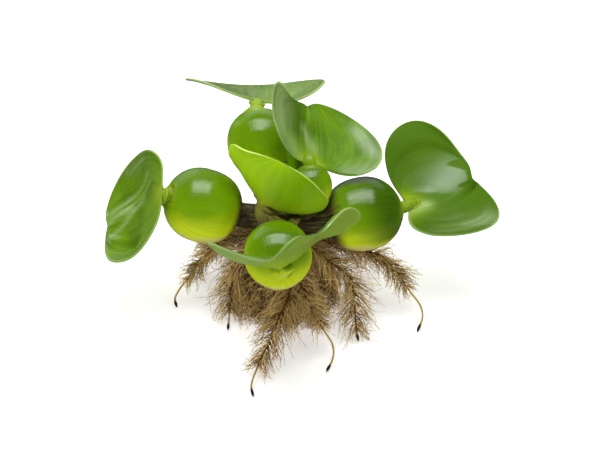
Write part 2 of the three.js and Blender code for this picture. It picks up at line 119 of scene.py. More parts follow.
floor_material, tree = new_material("pale floor")
ray = add_node(tree, "ShaderNodeLightPath").outputs
tint = add_node(tree, "ShaderNodeMix", _0=ray["Is Glossy Ray"], _2=FLOOR_COLOUR[0], _3=FLOOR_REFLECTED)
lift = add_node(tree, "ShaderNodeMix", _0=ray["Is Glossy Ray"], _2=FLOOR_GLOW, _3=0.0)
add_skin(tree, tint.outputs[0], FLOOR_ROUGHNESS, Emission_Color=(1, 1, 1, 1),
         Emission_Strength=lift.outputs[0])

half_floor = FLOOR_SIZE * MM / 2
floor_mesh = bpy.data.meshes.new("floor")
floor_corners = [(-half_floor, -half_floor, 0), (half_floor, -half_floor, 0),
                 (half_floor, half_floor, 0), (-half_floor, half_floor, 0)]
floor_mesh.from_pydata(floor_corners, [], [(0, 1, 2, 3)])
floor_mesh.materials.append(floor_material)
floor = bpy.data.objects.new("floor", floor_mesh)
bpy.context.collection.objects.link(floor)

for name, lamp in LAMPS.items():
    light = bpy.data.lights.new(name, "AREA")
    light.shape = "RECTANGLE"
    light.size = lamp["size"][0] * MM
    light.size_y = lamp["size"][1] * MM
    light.energy = lamp["radiance"] * np.pi * light.size * light.size_y
    lit = bpy.data.objects.new(name, light)
    lit.location = Vector(lamp["place"]) * MM
    lit.visible_camera = False
    facing = Vector(CROWN_MIDDLE) - Vector(lamp["place"])
    lit.rotation_euler = facing.to_track_quat("-Z", "Y").to_euler()
    bpy.context.collection.objects.link(lit)

sky = bpy.data.worlds.new("white sky")
sky.use_nodes = True
tree = sky.node_tree
tree.nodes.clear()
ray = add_node(tree, "ShaderNodeLightPath").outputs
lighting = add_node(tree, "ShaderNodeMix", _0=ray["Is Glossy Ray"], _2=SKY_STRENGTH, _3=SKY_REFLECTED)
seen = add_node(tree, "ShaderNodeMix", _0=ray["Is Camera Ray"], _2=lighting.outputs[0], _3=SKY_SEEN)
glow = add_node(tree, "ShaderNodeBackground", Color=(1, 1, 1, 1), Strength=seen.outputs[0])
add_node(tree, "ShaderNodeOutputWorld", Surface=glow.outputs[0])
bpy.context.scene.world = sky

# Crown
# The short upright stem that every leaf and root grows from. It is dark brown and fibrous, swollen
# where the leaf bases clasp it, and old papery sheaths still stand round it.
CROWN_TOP = 53
CROWN_BOTTOM = 37
CROWN_RADIUS = 7.4
CROWN_WAIST = 0.78
CROWN_RIDGE = 0.1
CROWN_LEAF_BASES = 5
CROWN_LUMP = 0.05
CROWN_SWELL_FROM = 0.15
CROWN_SWELL_OVER = 0.7
CROWN_ROWS = 60
CROWN_SIDES = 96
SHEATHS = [
    {"heading": 198, "foot": 40, "height": 21, "width": 66, "radius": 9.0, "lean": 4.0},
    {"heading": 240, "foot": 39, "height": 17, "width": 60, "radius": 10.5, "lean": 2.4},
    {"heading": 276, "foot": 38, "height": 14, "width": 55, "radius": 8.4, "lean": 2.2},
    {"heading": 320, "foot": 38, "height": 13, "width": 58, "radius": 8.5, "lean": 2.0},
    {"heading": 20, "foot": 39, "height": 16, "width": 60, "radius": 8.4, "lean": 2.6},
    {"heading": 82, "foot": 38, "height": 17, "width": 64, "radius": 8.5, "lean": 2.4},
    {"heading": 150, "foot": 39, "height": 18, "width": 60, "radius": 8.5, "lean": 3.4},
]
SHEATH_THICKNESS = 0.35
SHEATH_FRAY = 1.4
SHEATH_RIPPLE = 0.5
SHEATH_NARROWING = 0.96
SHEATH_ACROSS = 40
SHEATH_ALONG = 30
random = np.random.default_rng(7)


def unit(vectors):
    """The vectors scaled to a length of one."""
    return vectors / np.linalg.norm(vectors, axis=-1, keepdims=True)


def turns(sides):
    """As many angles as there are sides, in equal steps once round."""
    return np.arange(sides) * 2 * np.pi / sides


def round_grain(angle, along):
    """The grain of a piece that is made of rings: a circle round it, and a value along it."""
    return np.stack(np.broadcast_arrays(np.cos(angle), np.sin(angle), along), axis=-1)


def rings_along(path, radius, across, sides):
    """Rings of points round a path. A point is the path's point plus the radius times the cosine
    and the sine of its angle along two directions square to the path: the first is the part of
    across that is square to it, and the second is square to both."""
    forward = unit(np.gradient(path, axis=-2))
    sideways = unit(across - (forward * across).sum(-1, keepdims=True) * forward)
    upwards = np.cross(forward, sideways)
    angle = turns(sides)[:, None]
    out = np.cos(angle) * sideways[..., None, :] + np.sin(angle) * upwards[..., None, :]
    return path[..., None, :] + np.asarray(radius)[..., None] * out


def close_skins(rings):
    """The points and faces of closed skins, from skins by rows by columns of points. Each row is a
    ring. Neighbouring rings are joined by four-sided faces, and the first and the last ring are
    closed by triangles to the ring's mean point."""
    skins, rows, columns, _ = rings.shape
    points = np.concatenate([rings.reshape(skins, -1, 3), rings[:, [0, -1]].mean(axis=2)], axis=1)
    here = np.arange(rows * columns).reshape(rows, columns)
    beside = np.roll(here, -1, axis=1)
    walls = np.stack([here[:-1], beside[:-1], beside[1:], here[1:]], axis=-1).reshape(-1, 4)
    near = np.stack([beside[0], here[0], np.full(columns, rows * columns)], axis=-1)
    far = np.stack([here[-1], beside[-1], np.full(columns, rows * columns + 1)], axis=-1)
    first = (np.arange(skins) * points.shape[1])[:, None, None]
    quads = (walls[None] + first).reshape(-1, 4)
    triangles = (np.concatenate([near, far])[None] + first).reshape(-1, 3)
    return points.reshape(-1, 3), quads, triangles


def mask_values(mask, rings):
    """A mask's value at each point of the closed skins: the two end points have their ring's mean."""
    skins, rows, columns, _ = rings.shape
    width = mask.shape[3:]
    whole = np.broadcast_to(mask, (skins, rows, columns) + width)
    ends = whole[:, [0, -1]].mean(axis=2)
    values = np.concatenate([whole.reshape((skins, rows * columns) + width), ends], axis=1)
    return values.reshape((-1,) + width)


def outward(points, quads, triangles):
    """The faces, turned over if they point inwards: then the volume that they close is negative."""
    a, b, c, d = (points[quads[:, corner]] for corner in range(4))
    volume = (np.cross(a, b) * c).sum() + (np.cross(a, c) * d).sum()
    a, b, c = (points[triangles[:, corner]] for corner in range(3))
    volume += (np.cross(a, b) * c).sum()
    return (quads, triangles) if volume > 0 else (quads[:, ::-1], triangles[:, ::-1])


def make_piece(name, skins, material, slot, *nodes):
    """A piece of the plant, which takes the place of the named solids, from a list of skins. Each
    is a pair: skins by rows by columns of points, in millimetres, and masks by name with a number
    or three for each of those points."""
    points, quads, triangles, masks = [], [], [], {}
    count = 0
    for rings, marks in skins:
        some, fours, threes = close_skins(rings)
        fours, threes = outward(some, fours, threes)
        points.append(some)
        quads.append(fours + count)
        triangles.append(threes + count)
        for mark, mask in marks.items():
            masks.setdefault(mark, []).append(mask_values(mask, rings))
        count += len(some)
    points, quads, triangles = (np.concatenate(part) for part in (points, quads, triangles))

    mesh = bpy.data.meshes.new(name)
    mesh.vertices.add(len(points))
    mesh.vertices.foreach_set("co", (points * MM).astype(np.float32).ravel())
    corners = np.concatenate([quads.ravel(), triangles.ravel()]).astype(np.int32)
    mesh.loops.add(len(corners))
    mesh.loops.foreach_set("vertex_index", corners)
    starts = np.concatenate([np.arange(len(quads)) * 4, len(quads) * 4 + np.arange(len(triangles)) * 3])
    mesh.polygons.add(len(starts))
    mesh.polygons.foreach_set("loop_start", starts.astype(np.int32))
    mesh.update(calc_edges=True)
    mesh.shade_smooth()
    for mark, parts in masks.items():
        values = np.concatenate(parts).astype(np.float32)
        vector = values.ndim == 2
        layer = mesh.attributes.new(mark, "FLOAT_VECTOR" if vector else "FLOAT", "POINT")
        layer.data.foreach_set("vector" if vector else "value", values.ravel())
    mesh.materials.append(material)
    piece = bpy.data.objects.new(name, mesh)
    bpy.context.collection.objects.link(piece)
    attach(piece, "root")
    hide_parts(*nodes)


def sheet_skin(surface, thickness, across, along):
    """One skin round a thin curved sheet. The sheet's middle is a surface of two parameters, side
    from -1 to 1 and reach from 0 to 1. Each ring goes across the upper face and back across the
    lower one, half a thickness away along the surface's normal, and the offset falls to nothing at
    the margin as a half circle does. Returns the skin with its side, reach and face."""
    rim, end, rounding, step = 0.985, 0.004, 0.02, 0.01
    turn = np.arange(2 * across) * np.pi / across
    side, reach = np.meshgrid(-np.cos(turn), np.linspace(end, 1 - end, along))
    face = np.broadcast_to(np.where(np.sin(turn) > -1e-9, 1, -1), side.shape)
    s, t = np.clip(side, -rim, rim), np.clip(reach, rounding, 1 - rounding)
    sideways = surface(s + step, t) - surface(s - step, t)
    onward = surface(s, t + step) - surface(s, t - step)
    normal = unit(np.cross(sideways, onward))
    to_margin = np.clip((np.abs(side) - rim) / (1 - rim), 0, 1)
    to_end = np.clip(1 - np.minimum(reach, 1 - reach) / rounding, 0, 1)
    round_off = np.sqrt((1 - to_margin**2) * (1 - to_end**2))
    upper, lower = thickness(side, reach)
    offset = np.where(face > 0, upper, -lower) * round_off
    skin = surface(side, reach) + normal * offset[..., None]
    return skin[None], side[None], reach[None], face[None]


def shader_group(name, inputs, outputs):
    """A shader node group with named inputs and outputs, and its two end nodes."""
    group = bpy.data.node_groups.new(name, "ShaderNodeTree")
    for label, kind, value in inputs:
        group.interface.new_socket(label, in_out="INPUT", socket_type=kind).default_value = value
    for label in outputs:
        group.interface.new_socket(label, in_out="OUTPUT", socket_type="NodeSocketFloat")
    return group, group.nodes.new("NodeGroupInput"), group.nodes.new("NodeGroupOutput")


def use_group(tree, group, **values):
    """A group placed in a node tree, with values or links for its inputs."""
    return add_node(tree, "ShaderNodeGroup", {"node_tree": group}, **values).outputs


def mix_colours(tree, share, low, high):
    """A mix of two colours: the second one's share is from 0 to 1."""
    return add_node(tree, "ShaderNodeMix", {"data_type": "RGBA"}, _0=share, _6=low, _7=high).outputs[2]


def ramp(tree, value, start, end, low=0.0, high=1.0):
    """A value that goes smoothly from low to high as another one goes from start to end."""
    settings = {"interpolation_type": "SMOOTHSTEP"}
    return add_node(tree, "ShaderNodeMapRange", settings, Value=value, From_Min=start, From_Max=end,
                    To_Min=low, To_Max=high).outputs[0]


def combine(tree, operation, first, second):
    """Two values joined by the operation with that name."""
    return add_node(tree, "ShaderNodeMath", {"operation": operation}, _0=first, _1=second).outputs[0]


def times(tree, first, second):
    """Two values multiplied."""
    return combine(tree, "MULTIPLY", first, second)


def plus(tree, first, second):
    """Two values added."""
    return combine(tree, "ADD", first, second)


def carried(tree, name, output="Fac"):
    """A mask that a piece carries on its mesh: a value, or a vector of three."""
    return add_node(tree, "ShaderNodeAttribute", {"attribute_name": name}).outputs[output]


def bump(tree, height, distance, strength):
    """A relief from a height. The distance is its depth in metres."""
    made = add_node(tree, "ShaderNodeBump", Height=height, Distance=distance, Strength=strength)
    return made.outputs["Normal"]


# Streaks run along a grown part, from its foot to its tip: soft broad ones for the colour, and fine
# ones for the relief. Grain is a position with z along the part.
streaks, ends_in, ends_out = shader_group(
    "streaks",
    [("Grain", "NodeSocketVector", (0, 0, 0)), ("Count", "NodeSocketFloat", 20.0),
     ("Breaks", "NodeSocketFloat", 1.5)],
    ["Streak", "Relief"],
)
stretch = add_node(streaks, "ShaderNodeCombineXYZ", X=ends_in.outputs["Count"], Y=ends_in.outputs["Count"],
                   Z=ends_in.outputs["Breaks"])
drawn = add_node(streaks, "ShaderNodeVectorMath", {"operation": "MULTIPLY"},
                 _0=ends_in.outputs["Grain"], _1=stretch.outputs[0])
broad = add_node(streaks, "ShaderNodeTexNoise", Vector=drawn.outputs[0], Scale=1.0, Detail=3.0, Roughness=0.6)
fine = add_node(streaks, "ShaderNodeTexNoise", Vector=drawn.outputs[0], Scale=3.1, Detail=2.0, Roughness=0.5)
streaks.links.new(ramp(streaks, broad.outputs[0], 0.3, 0.7), ends_out.inputs["Streak"])
part_broad = times(streaks, broad.outputs[0], 0.6)
streaks.links.new(plus(streaks, part_broad, fine.outputs[0]), ends_out.inputs["Relief"])

# Blotches are cloudy patches of a given size in metres, for uneven colour, and specks are dots.
blotches, ends_in, ends_out = shader_group(
    "blotches", [("Size", "NodeSocketFloat", 0.01)], ["Blotch", "Speck"])
place = add_node(blotches, "ShaderNodeTexCoord").outputs["Object"]
fineness = combine(blotches, "DIVIDE", 1.0, ends_in.outputs["Size"])
cloud = add_node(blotches, "ShaderNodeTexNoise", Vector=place, Scale=fineness, Detail=3.0, Roughness=0.55)
dot_fineness = times(blotches, fineness, 9.0)
dots = add_node(blotches, "ShaderNodeTexNoise", Vector=place, Scale=dot_fineness, Detail=1.0, Roughness=0.5)
blotches.links.new(ramp(blotches, cloud.outputs[0], 0.32, 0.68), ends_out.inputs["Blotch"])
blotches.links.new(ramp(blotches, dots.outputs[0], 0.5, 0.72), ends_out.inputs["Speck"])


def streaks_of(tree, count, breaks):
    """The streaks of a piece: about how many go round it, and how often they break off along it."""
    return use_group(tree, streaks, Grain=carried(tree, "grain", "Vector"), Count=count, Breaks=breaks)


def fibre_material(name, dark, pale, tip, count):
    """Dry brown tissue: streaks from dark to pale along the grain, paler at the tips."""
    material, tree = new_material(name)
    streak = streaks_of(tree, count, 2.0)
    cloud = use_group(tree, blotches, Size=0.006)
    body = mix_colours(tree, streak["Streak"], dark, pale)
    body = mix_colours(tree, times(tree, cloud["Blotch"], 0.45), body, dark)
    body = mix_colours(tree, ramp(tree, carried(tree, "reach"), 0.45, 1.0), body, tip)
    add_skin(tree, body, 0.7, Normal=bump(tree, streak["Relief"], 0.0006, 0.8))
    return material


def sheath_surface(sheath):
    """The middle of one old sheath: an arc round the crown that narrows to a ragged point, along a
    rounded curve, and leans out with the square of the height."""
    waver = random.uniform(0, 2 * np.pi, 3)

    def surface(side, reach):
        share = np.sqrt(np.clip(1 - (SHEATH_NARROWING * reach) ** 3, 0, 1))
        angle = np.radians(sheath["heading"] + sheath["width"] * side * share)
        torn = SHEATH_FRAY * reach * np.sin(9 * side + waver[0]) * np.cos(23 * side + waver[1])
        height = sheath["height"] * reach + torn
        radius = sheath["radius"] + sheath["lean"] * reach**2
        radius = radius + SHEATH_RIPPLE * np.sin(6 * side + waver[2]) * reach
        return np.stack([radius * np.cos(angle), radius * np.sin(angle), sheath["foot"] + height], axis=-1)

    return surface


def sheath_thickness(side, reach):
    """Half of a sheath's thickness on each side of its middle, everywhere."""
    half = np.full(side.shape, SHEATH_THICKNESS / 2)
    return half, half


part = np.linspace(0, 1, CROWN_ROWS)
crown_path = np.stack([0 * part, 0 * part, CROWN_BOTTOM + (CROWN_TOP - CROWN_BOTTOM) * part], axis=-1)
angle = turns(CROWN_SIDES)
taper = CROWN_WAIST + (1 - CROWN_WAIST) * np.sin(np.pi * (CROWN_SWELL_FROM + CROWN_SWELL_OVER * part))[:, None]
ridge = 1 + CROWN_RIDGE * np.cos(CROWN_LEAF_BASES * angle + 2 * part[:, None])
lumps = 1 + CROWN_LUMP * np.sin(11 * angle + 3 * np.sin(9 * part[:, None])) * np.sin(17 * part[:, None])
crown_radius = CROWN_RADIUS * taper * ridge * lumps
crown_rings = rings_along(crown_path, crown_radius, picture_right, CROWN_SIDES)[None]
crown_grain = round_grain(angle, 2 * part[:, None])[None]
crown_skins = [(crown_rings, {"grain": crown_grain, "reach": 0 * crown_grain[..., 0]})]
for sheath in SHEATHS:
    middle = sheath_surface(sheath)
    skin, side, reach, face = sheet_skin(middle, sheath_thickness, SHEATH_ACROSS, SHEATH_ALONG)
    grain = np.stack([side * 1.5, face * 3.0, reach * 1.5], axis=-1)
    crown_skins.append((skin, {"grain": grain, "reach": reach}))
crown_tissue = fibre_material(
    "crown tissue", dark=(0.022, 0.014, 0.003, 1), pale=(0.25, 0.19, 0.02, 1), tip=(0.42, 0.38, 0.05, 1),
    count=16.0)
make_piece("crown_stem_and_sheaths", crown_skins, crown_tissue, "crown", "crown")

# Leaf stalks
# Each full-grown leaf stands on a hollow float: a short stem from the crown swells into a green
# ball full of air, and narrows again to a neck that carries the blade. The skin is glossy, finely
# striped from end to end and brown at the crown. Downwards it turns yellower, partly its own colour
# and partly painted light bounced up from the floor, and at its lowest rim a pale brown that is
# partly a painted reflection of the floor.
FLOAT_LENGTH_RATIO = 1.04
FLOAT_ROUNDNESS = 2.15
FLARED = ("left", "right", "back")
STALK_RADIUS_RATIO = 0.34
STEM_BLEND = 2.6
STEM_ROWS = 24
NECK_RADIUS = 2.9
NECK_BLEND = 3.4
NECK_SEAT = 1.8
NECK_TURN = 0.7
NECK_ROWS = 16
CAP_ROWS = 9
CAP_ROUNDING = 0.98
BLEND_FROM = 0.3
BLEND_OVER = 0.5
BEND_PULL = 0.4
FLOAT_SIDES = 112
FLOAT_LUMP = 0.006
FLOAT_ROWS = 120
FLOAT_ENDS = 0.94
GUSSET_SIDES = 32
GUSSET_ROWS = 20
GUSSET_END = 0.05
GUSSET_ONWARD = 1.2
GUSSET_DROP = 1.5
GUSSET_LENGTH = 4.4
GUSSET_WIDTH = 3.9
GUSSET_FLATNESS = 0.42
# Each leaf's shade value is painted shade on its float, the shadow that blades cast on it. Each blade's shade
# value darkens the whole blade: partly its own tone, partly painted shade, and below zero it paints light.
# Blooms are strokes of painted sheen; sheens are where the gloss stays.
LEAVES = {
    "left": {
        "start": (-6, 0, 46.5), "centre": (-37.6, 1.1, 53), "heading": 192, "rise": 26,
        "radius": 17.2, "full": 2.7, "painted_shade": 0.05, "neck_tone": 1,
        "blade": {
            "painted_shade": -0.05, "foot": (-55, -3.7, 63), "heading": 136.2, "rise": -56, "roll": -53.3,
            "left": 29.6, "right": 29.5, "length": 43.7, "lobe": 4.5,
            "tilt": -8, "cup": 17.5, "lift": 9.3, "flare": 17.2, "sway": 1.4, "arch": 33.8, "droop": 7.6,
            "twist": 6.1, "fold": 24.3, "skew": -4.1, "dip": 0.1, "wave": 3, "waves": 1.45, "phase": -55.6,
            "crease": -8.4, "notch": 1.2, "overlap": 0.5, "fan": 0.69, "fans": 3.24, "fan_phase": -62,
            "swells": [(0.3, 0.18, 0.26, 1.8), (-0.79, 0.72, 0.58, 4), (-0.59, 0.62, 0.22, -7.1),
                       (0.61, 0.68, 0.31, -4.5)],
            "painted_sheens": [(0.4, 0.3, 0.02, 0.98, 0.045, 0.6), (0.62, 0.4, 0.2, 0.95, 0.05, 0.45),
                       (0.2, 0.4, -0.25, 0.93, 0.045, 0.45), (0.88, 0.45, 0.85, 0.7, 0.08, 0.3)],
        },
    },
    "right": {
        "start": (6, -1.5, 46.5), "centre": (37.6, -2.2, 50.3), "heading": 10, "rise": 4,
        "radius": 17.2, "full": 2.4, "painted_shade": 0.9, "neck_tone": 1,
        "blade": {
            "painted_shade": 0.95, "foot": (60.1, 3, 52.1), "heading": 34.9, "rise": 1.7, "roll": 54.3,
            "left": 44.1, "right": 25.2, "length": 36.2, "lobe": -4.8,
            "tilt": 32, "cup": 29, "lift": -18.7, "flare": -76.5, "sway": -6, "arch": -26.7, "droop": 26.5,
            "twist": 5.5, "fold": 22.9, "skew": 3.2, "dip": 3.6, "wave": -3.3, "waves": 1.6, "phase": 58,
            "crease": 5.5, "notch": 4.9, "overlap": -3.9, "ear": 9.3, "fan": -0.43, "fans": 4.9,
            "fan_phase": 76,
            "swells": [(0, 0.85, 0.21, 4.9), (-0.47, 0.31, 0.31, -2.4), (-0.19, 0.14, 0.31, -5),
                       (0.15, 0.73, 0.44, 5)],
            "painted_sheens": [(0.1, 0.06, 0.16, 0.16, 0.09, 0.75), (0.85, 0.6, 0.75, 0.15, 0.16, 0.25)],
            "sheens": [(-0.14, 0.76, -0.06, 0.55, 0.17, 1), (0.02, 0.12, -0.05, 0.4, 0.08, 0.9),
                       (0.85, 0.6, 0.7, 0.15, 0.16, 0.3)],
        },
    },
    "front": {
        "start": (-0.5, -6, 46.5), "centre": (-1.9, -36.4, 53.6), "heading": -86, "rise": 13,
        "radius": 15.2, "full": 2.15, "painted_shade": 0.2, "neck_tone": 0.15,
        "blade": {
            "painted_shade": 0.7, "foot": (0.6, -53.3, 61.2), "heading": -59.5, "rise": 59.2, "roll": 27.6,
            "left": 37.5, "right": 28.9, "length": 36.9, "lobe": 9.6,
            "tilt": 27.1, "cup": -14.3, "lift": 44.1, "flare": 18.3, "sway": 28.7, "arch": 4.5, "droop": -5.4,
            "twist": -9.3, "fold": -29.5, "skew": -19.2, "dip": -0.3, "wave": 1, "waves": 2.77, "phase": -6,
            "crease": 4.3, "notch": 0.95, "overlap": 2.6, "fan": -0.4, "fans": 3.66, "fan_phase": -116,
            "swells": [(0.22, 0.93, 0.53, -2.8), (0.49, 0.61, 0.33, -2.2), (0.51, 0.73, 0.25, -1.2),
                       (0.31, 0.15, 0.27, 2.6)],
            "painted_sheens": [(0.9, 0.5, 0.5, 0.05, 0.22, 0.35)],
        },
    },
    "back": {
        "start": (-3, 4, 50), "centre": (-10.4, 22.8, 73.2), "heading": 105, "rise": 54,
        "radius": 15.6, "full": 2.15, "painted_shade": 0.15, "neck_tone": 1,
        "blade": {
            "painted_shade": -0.1, "foot": (-12, 35.9, 87.7), "heading": 91.5, "rise": -26.4, "roll": 6.3,
            "left": 35.5, "right": 34.2, "length": 43.8, "lobe": 6,
            "tilt": -6, "cup": 48.7, "lift": 23, "flare": -28.5, "sway": -4.7, "arch": 7.4, "droop": -1.8,
            "twist": 13, "fold": -4.5, "skew": -4.6,
            "painted_sheens": [(-0.9, 0.45, 0.9, 0.45, 0.5, 0.4)],
        },
    },
    "centre": {
        "start": (3.5, -1, 51), "centre": (12.9, -1.5, 65.8), "heading": 98, "rise": 69,
        "radius": 9.8, "full": 2.15, "painted_shade": 0.25, "neck_tone": 0.6,
        "blade": {
            "painted_shade": 0.3, "foot": (12, 3.4, 78.7), "heading": 90, "rise": -13, "roll": -2,
            "left": 25.1, "right": 37.3, "length": 32.9, "lobe": 8.1,
            "tilt": -30.5, "cup": 53.9, "lift": -6.2, "flare": -26.6, "sway": -9.4, "arch": 49, "droop": 10.8,
            "twist": -28.8, "fold": 20.1, "skew": 2.7, "dip": 3.1, "wave": -11.2, "waves": 1, "phase": 120.6,
            "crease": 21.3, "notch": 1.6, "overlap": 3.8, "fan": 0.15, "fans": 4.7, "fan_phase": 73,
            "swells": [(-0.11, 0.68, 0.38, 2.2), (0.07, 0.48, 0.37, 0.5), (0.23, 0.66, 0.45, 4.7),
                       (-0.11, 0.15, 0.46, -4.1)],
            "sheens": [(0.78, 0.64, 0.88, 0.42, 0.11, 1), (0.88, 0.2, 0.5, 0.04, 0.1, 0.8),
                       (0.1, 0, 0.16, 0.02, 0.06, 1)],
            "painted_sheens": [(-0.85, 0.62, -0.8, 0.25, 0.3, 0.75), (-0.6, 0.2, -0.4, 0.1, 0.2, 0.4),
                       (-0.15, 0.5, 0.04, 0.3, 0.09, 0.5)],
        },
    },
}


def directed(heading, rise):
    """A unit vector from a heading, counter-clockwise from +X, and a rise above level, in degrees."""
    turn, up = np.radians(heading), np.radians(rise)
    return np.array([np.cos(up) * np.cos(turn), np.cos(up) * np.sin(turn), np.sin(up)])


def blade_axes(blade):
    """A blade's directions at its foot: along its midrib, across it, and out of its upper face. The
    last two are turned about the midrib by the roll."""
    midrib = directed(blade["heading"], blade["rise"])
    level = directed(blade["heading"], blade["rise"] + 90)
    roll = np.radians(blade["roll"])
    upper = level * np.cos(roll) + np.cross(midrib, level) * np.sin(roll)
    return midrib, np.cross(midrib, upper), upper


def bend(start, leaving, end, arriving, count):
    """A curve that leaves one point along a direction and arrives at another along a second one: a
    cubic whose two inner handles stand off its ends by a share of the gap."""
    part = np.linspace(0, 1, count)[:, None]
    pull = BEND_PULL * np.linalg.norm(end - start)
    first, second = start + pull * leaving, end - pull * arriving
    return ((1 - part) ** 3 * start + 3 * (1 - part) ** 2 * part * first
            + 3 * (1 - part) * part**2 * second + part**3 * end)


def grid_normals(rings):
    """The outward direction at each point of rings that go round a path, from the slope to the next
    ring and the slope to the next point of the ring."""
    onward = np.gradient(rings, axis=-3)
    around = np.roll(rings, -1, axis=-2) - np.roll(rings, 1, axis=-2)
    return unit(np.cross(around, onward))


def stalk_rings(leaf):
    """Rings from the crown to the blade. Along the float's axis the radius follows a rounded
    ellipse, fuller towards the crown in some. It is joined smoothly to the radius of the stem
    before it and of the neck after it: the joined radius is a root of the sum of both radii, each
    raised to the same power, and is taken up towards the ends. The neck ends under the blade's
    foot, turned into its midrib, in a round cap."""
    start, centre = np.array(leaf["start"]), np.array(leaf["centre"])
    midrib, _, upper = blade_axes(leaf["blade"])
    foot = np.array(leaf["blade"]["foot"]) + midrib - NECK_SEAT * upper
    axis = directed(leaf["heading"], leaf["rise"])
    half = leaf["radius"] * FLOAT_LENGTH_RATIO
    near, far = centre - axis * half * FLOAT_ENDS, centre + axis * half * FLOAT_ENDS
    into_blade = unit(unit(foot - far) + NECK_TURN * midrib)
    stem = bend(start, unit(near - start), near, axis, STEM_ROWS)[:-1]
    body = centre + axis * half * -FLOAT_ENDS * np.cos(np.linspace(0, np.pi, FLOAT_ROWS))[:, None]
    neck = bend(far, axis, foot, into_blade, NECK_ROWS)[1:]
    dome = np.linspace(0, CAP_ROUNDING * np.pi / 2, CAP_ROWS)[1:]
    cap = foot + into_blade * NECK_RADIUS * np.sin(dome)[:, None]
    path = np.concatenate([stem, body, neck, cap])
    along = (path - centre) @ axis / half
    along[:len(stem)] = np.minimum(along[:len(stem)], -FLOAT_ENDS)
    past_float = len(neck) + len(cap)
    along[-past_float:] = np.maximum(along[-past_float:], FLOAT_ENDS)
    roundness = np.where(along < 0, leaf["full"], FLOAT_ROUNDNESS)
    swell = leaf["radius"] * np.sqrt(np.clip(1 - np.abs(along) ** roundness, 0, 1))
    least = np.where(along < 0, leaf["radius"] * STALK_RADIUS_RATIO, NECK_RADIUS)
    blend = np.where(along < 0, STEM_BLEND, NECK_BLEND)
    joined = (swell**blend + least**blend) ** (1 / blend)
    towards_end = np.clip((np.abs(along) - BLEND_FROM) / BLEND_OVER, 0, 1)
    radius = swell + (joined - swell) * towards_end**2 * (3 - 2 * towards_end)
    radius[-len(cap):] *= np.cos(dome)
    angle = turns(FLOAT_SIDES)
    phases = random.uniform(0, 2 * np.pi, 6)
    lumps = sum(np.cos(wave * angle + phase) for wave, phase in zip((2, 3, 5), phases))
    dimple = np.sin(4 * along + phases[3])[:, None] * np.cos(angle + phases[4])
    radius = radius[:, None] * (1 + FLOAT_LUMP * (lumps + dimple))
    level = np.cross((0, 0, 1), axis)
    rings = rings_along(path, radius, level, FLOAT_SIDES)
    length = np.linalg.norm(np.diff(path, axis=0), axis=1).cumsum()
    reach = np.concatenate([[0], length / length[-1]])[:, None]
    return rings, along[:, None], reach, angle


def float_skin(rings, angle, reach, along, painted_shade, neck):
    """A skin of a float, or of what belongs to it, with its masks: its grain, how far it faces
    down, where it is along the float's axis, how deep its painted shade is, and its share of neck
    green."""
    def spread(value):
        return np.broadcast_to(value, rings.shape[:2])[None]

    return rings[None], {"grain": round_grain(angle, reach)[None],
                         "down": -grid_normals(rings)[None, ..., 2], "along": spread(along),
                         "painted_shade": spread(painted_shade), "neck": spread(neck)}


def gusset(leaf):
    """The flat swelling in which a neck widens under its blade: half an egg, wider than it is high,
    along the midrib and tilted as the blade is."""
    midrib, width, upper = blade_axes(leaf["blade"])
    tilt = np.radians(leaf["blade"]["tilt"])
    across = width * np.cos(tilt) + upper * np.sin(tilt)
    out = upper * np.cos(tilt) - width * np.sin(tilt)
    middle = np.array(leaf["blade"]["foot"]) + GUSSET_ONWARD * midrib - GUSSET_DROP * out
    turn = np.linspace(GUSSET_END, np.pi - GUSSET_END, GUSSET_ROWS)
    path = middle - np.cos(turn)[:, None] * GUSSET_LENGTH * midrib
    rings = rings_along(path, GUSSET_WIDTH * np.sin(turn)[:, None], across, GUSSET_SIDES)
    rings = rings - (1 - GUSSET_FLATNESS) * ((rings - path[:, None]) @ out)[..., None] * out
    return float_skin(rings, turns(GUSSET_SIDES), turn[:, None] / np.pi, 1.0, 0.0, 1.0)


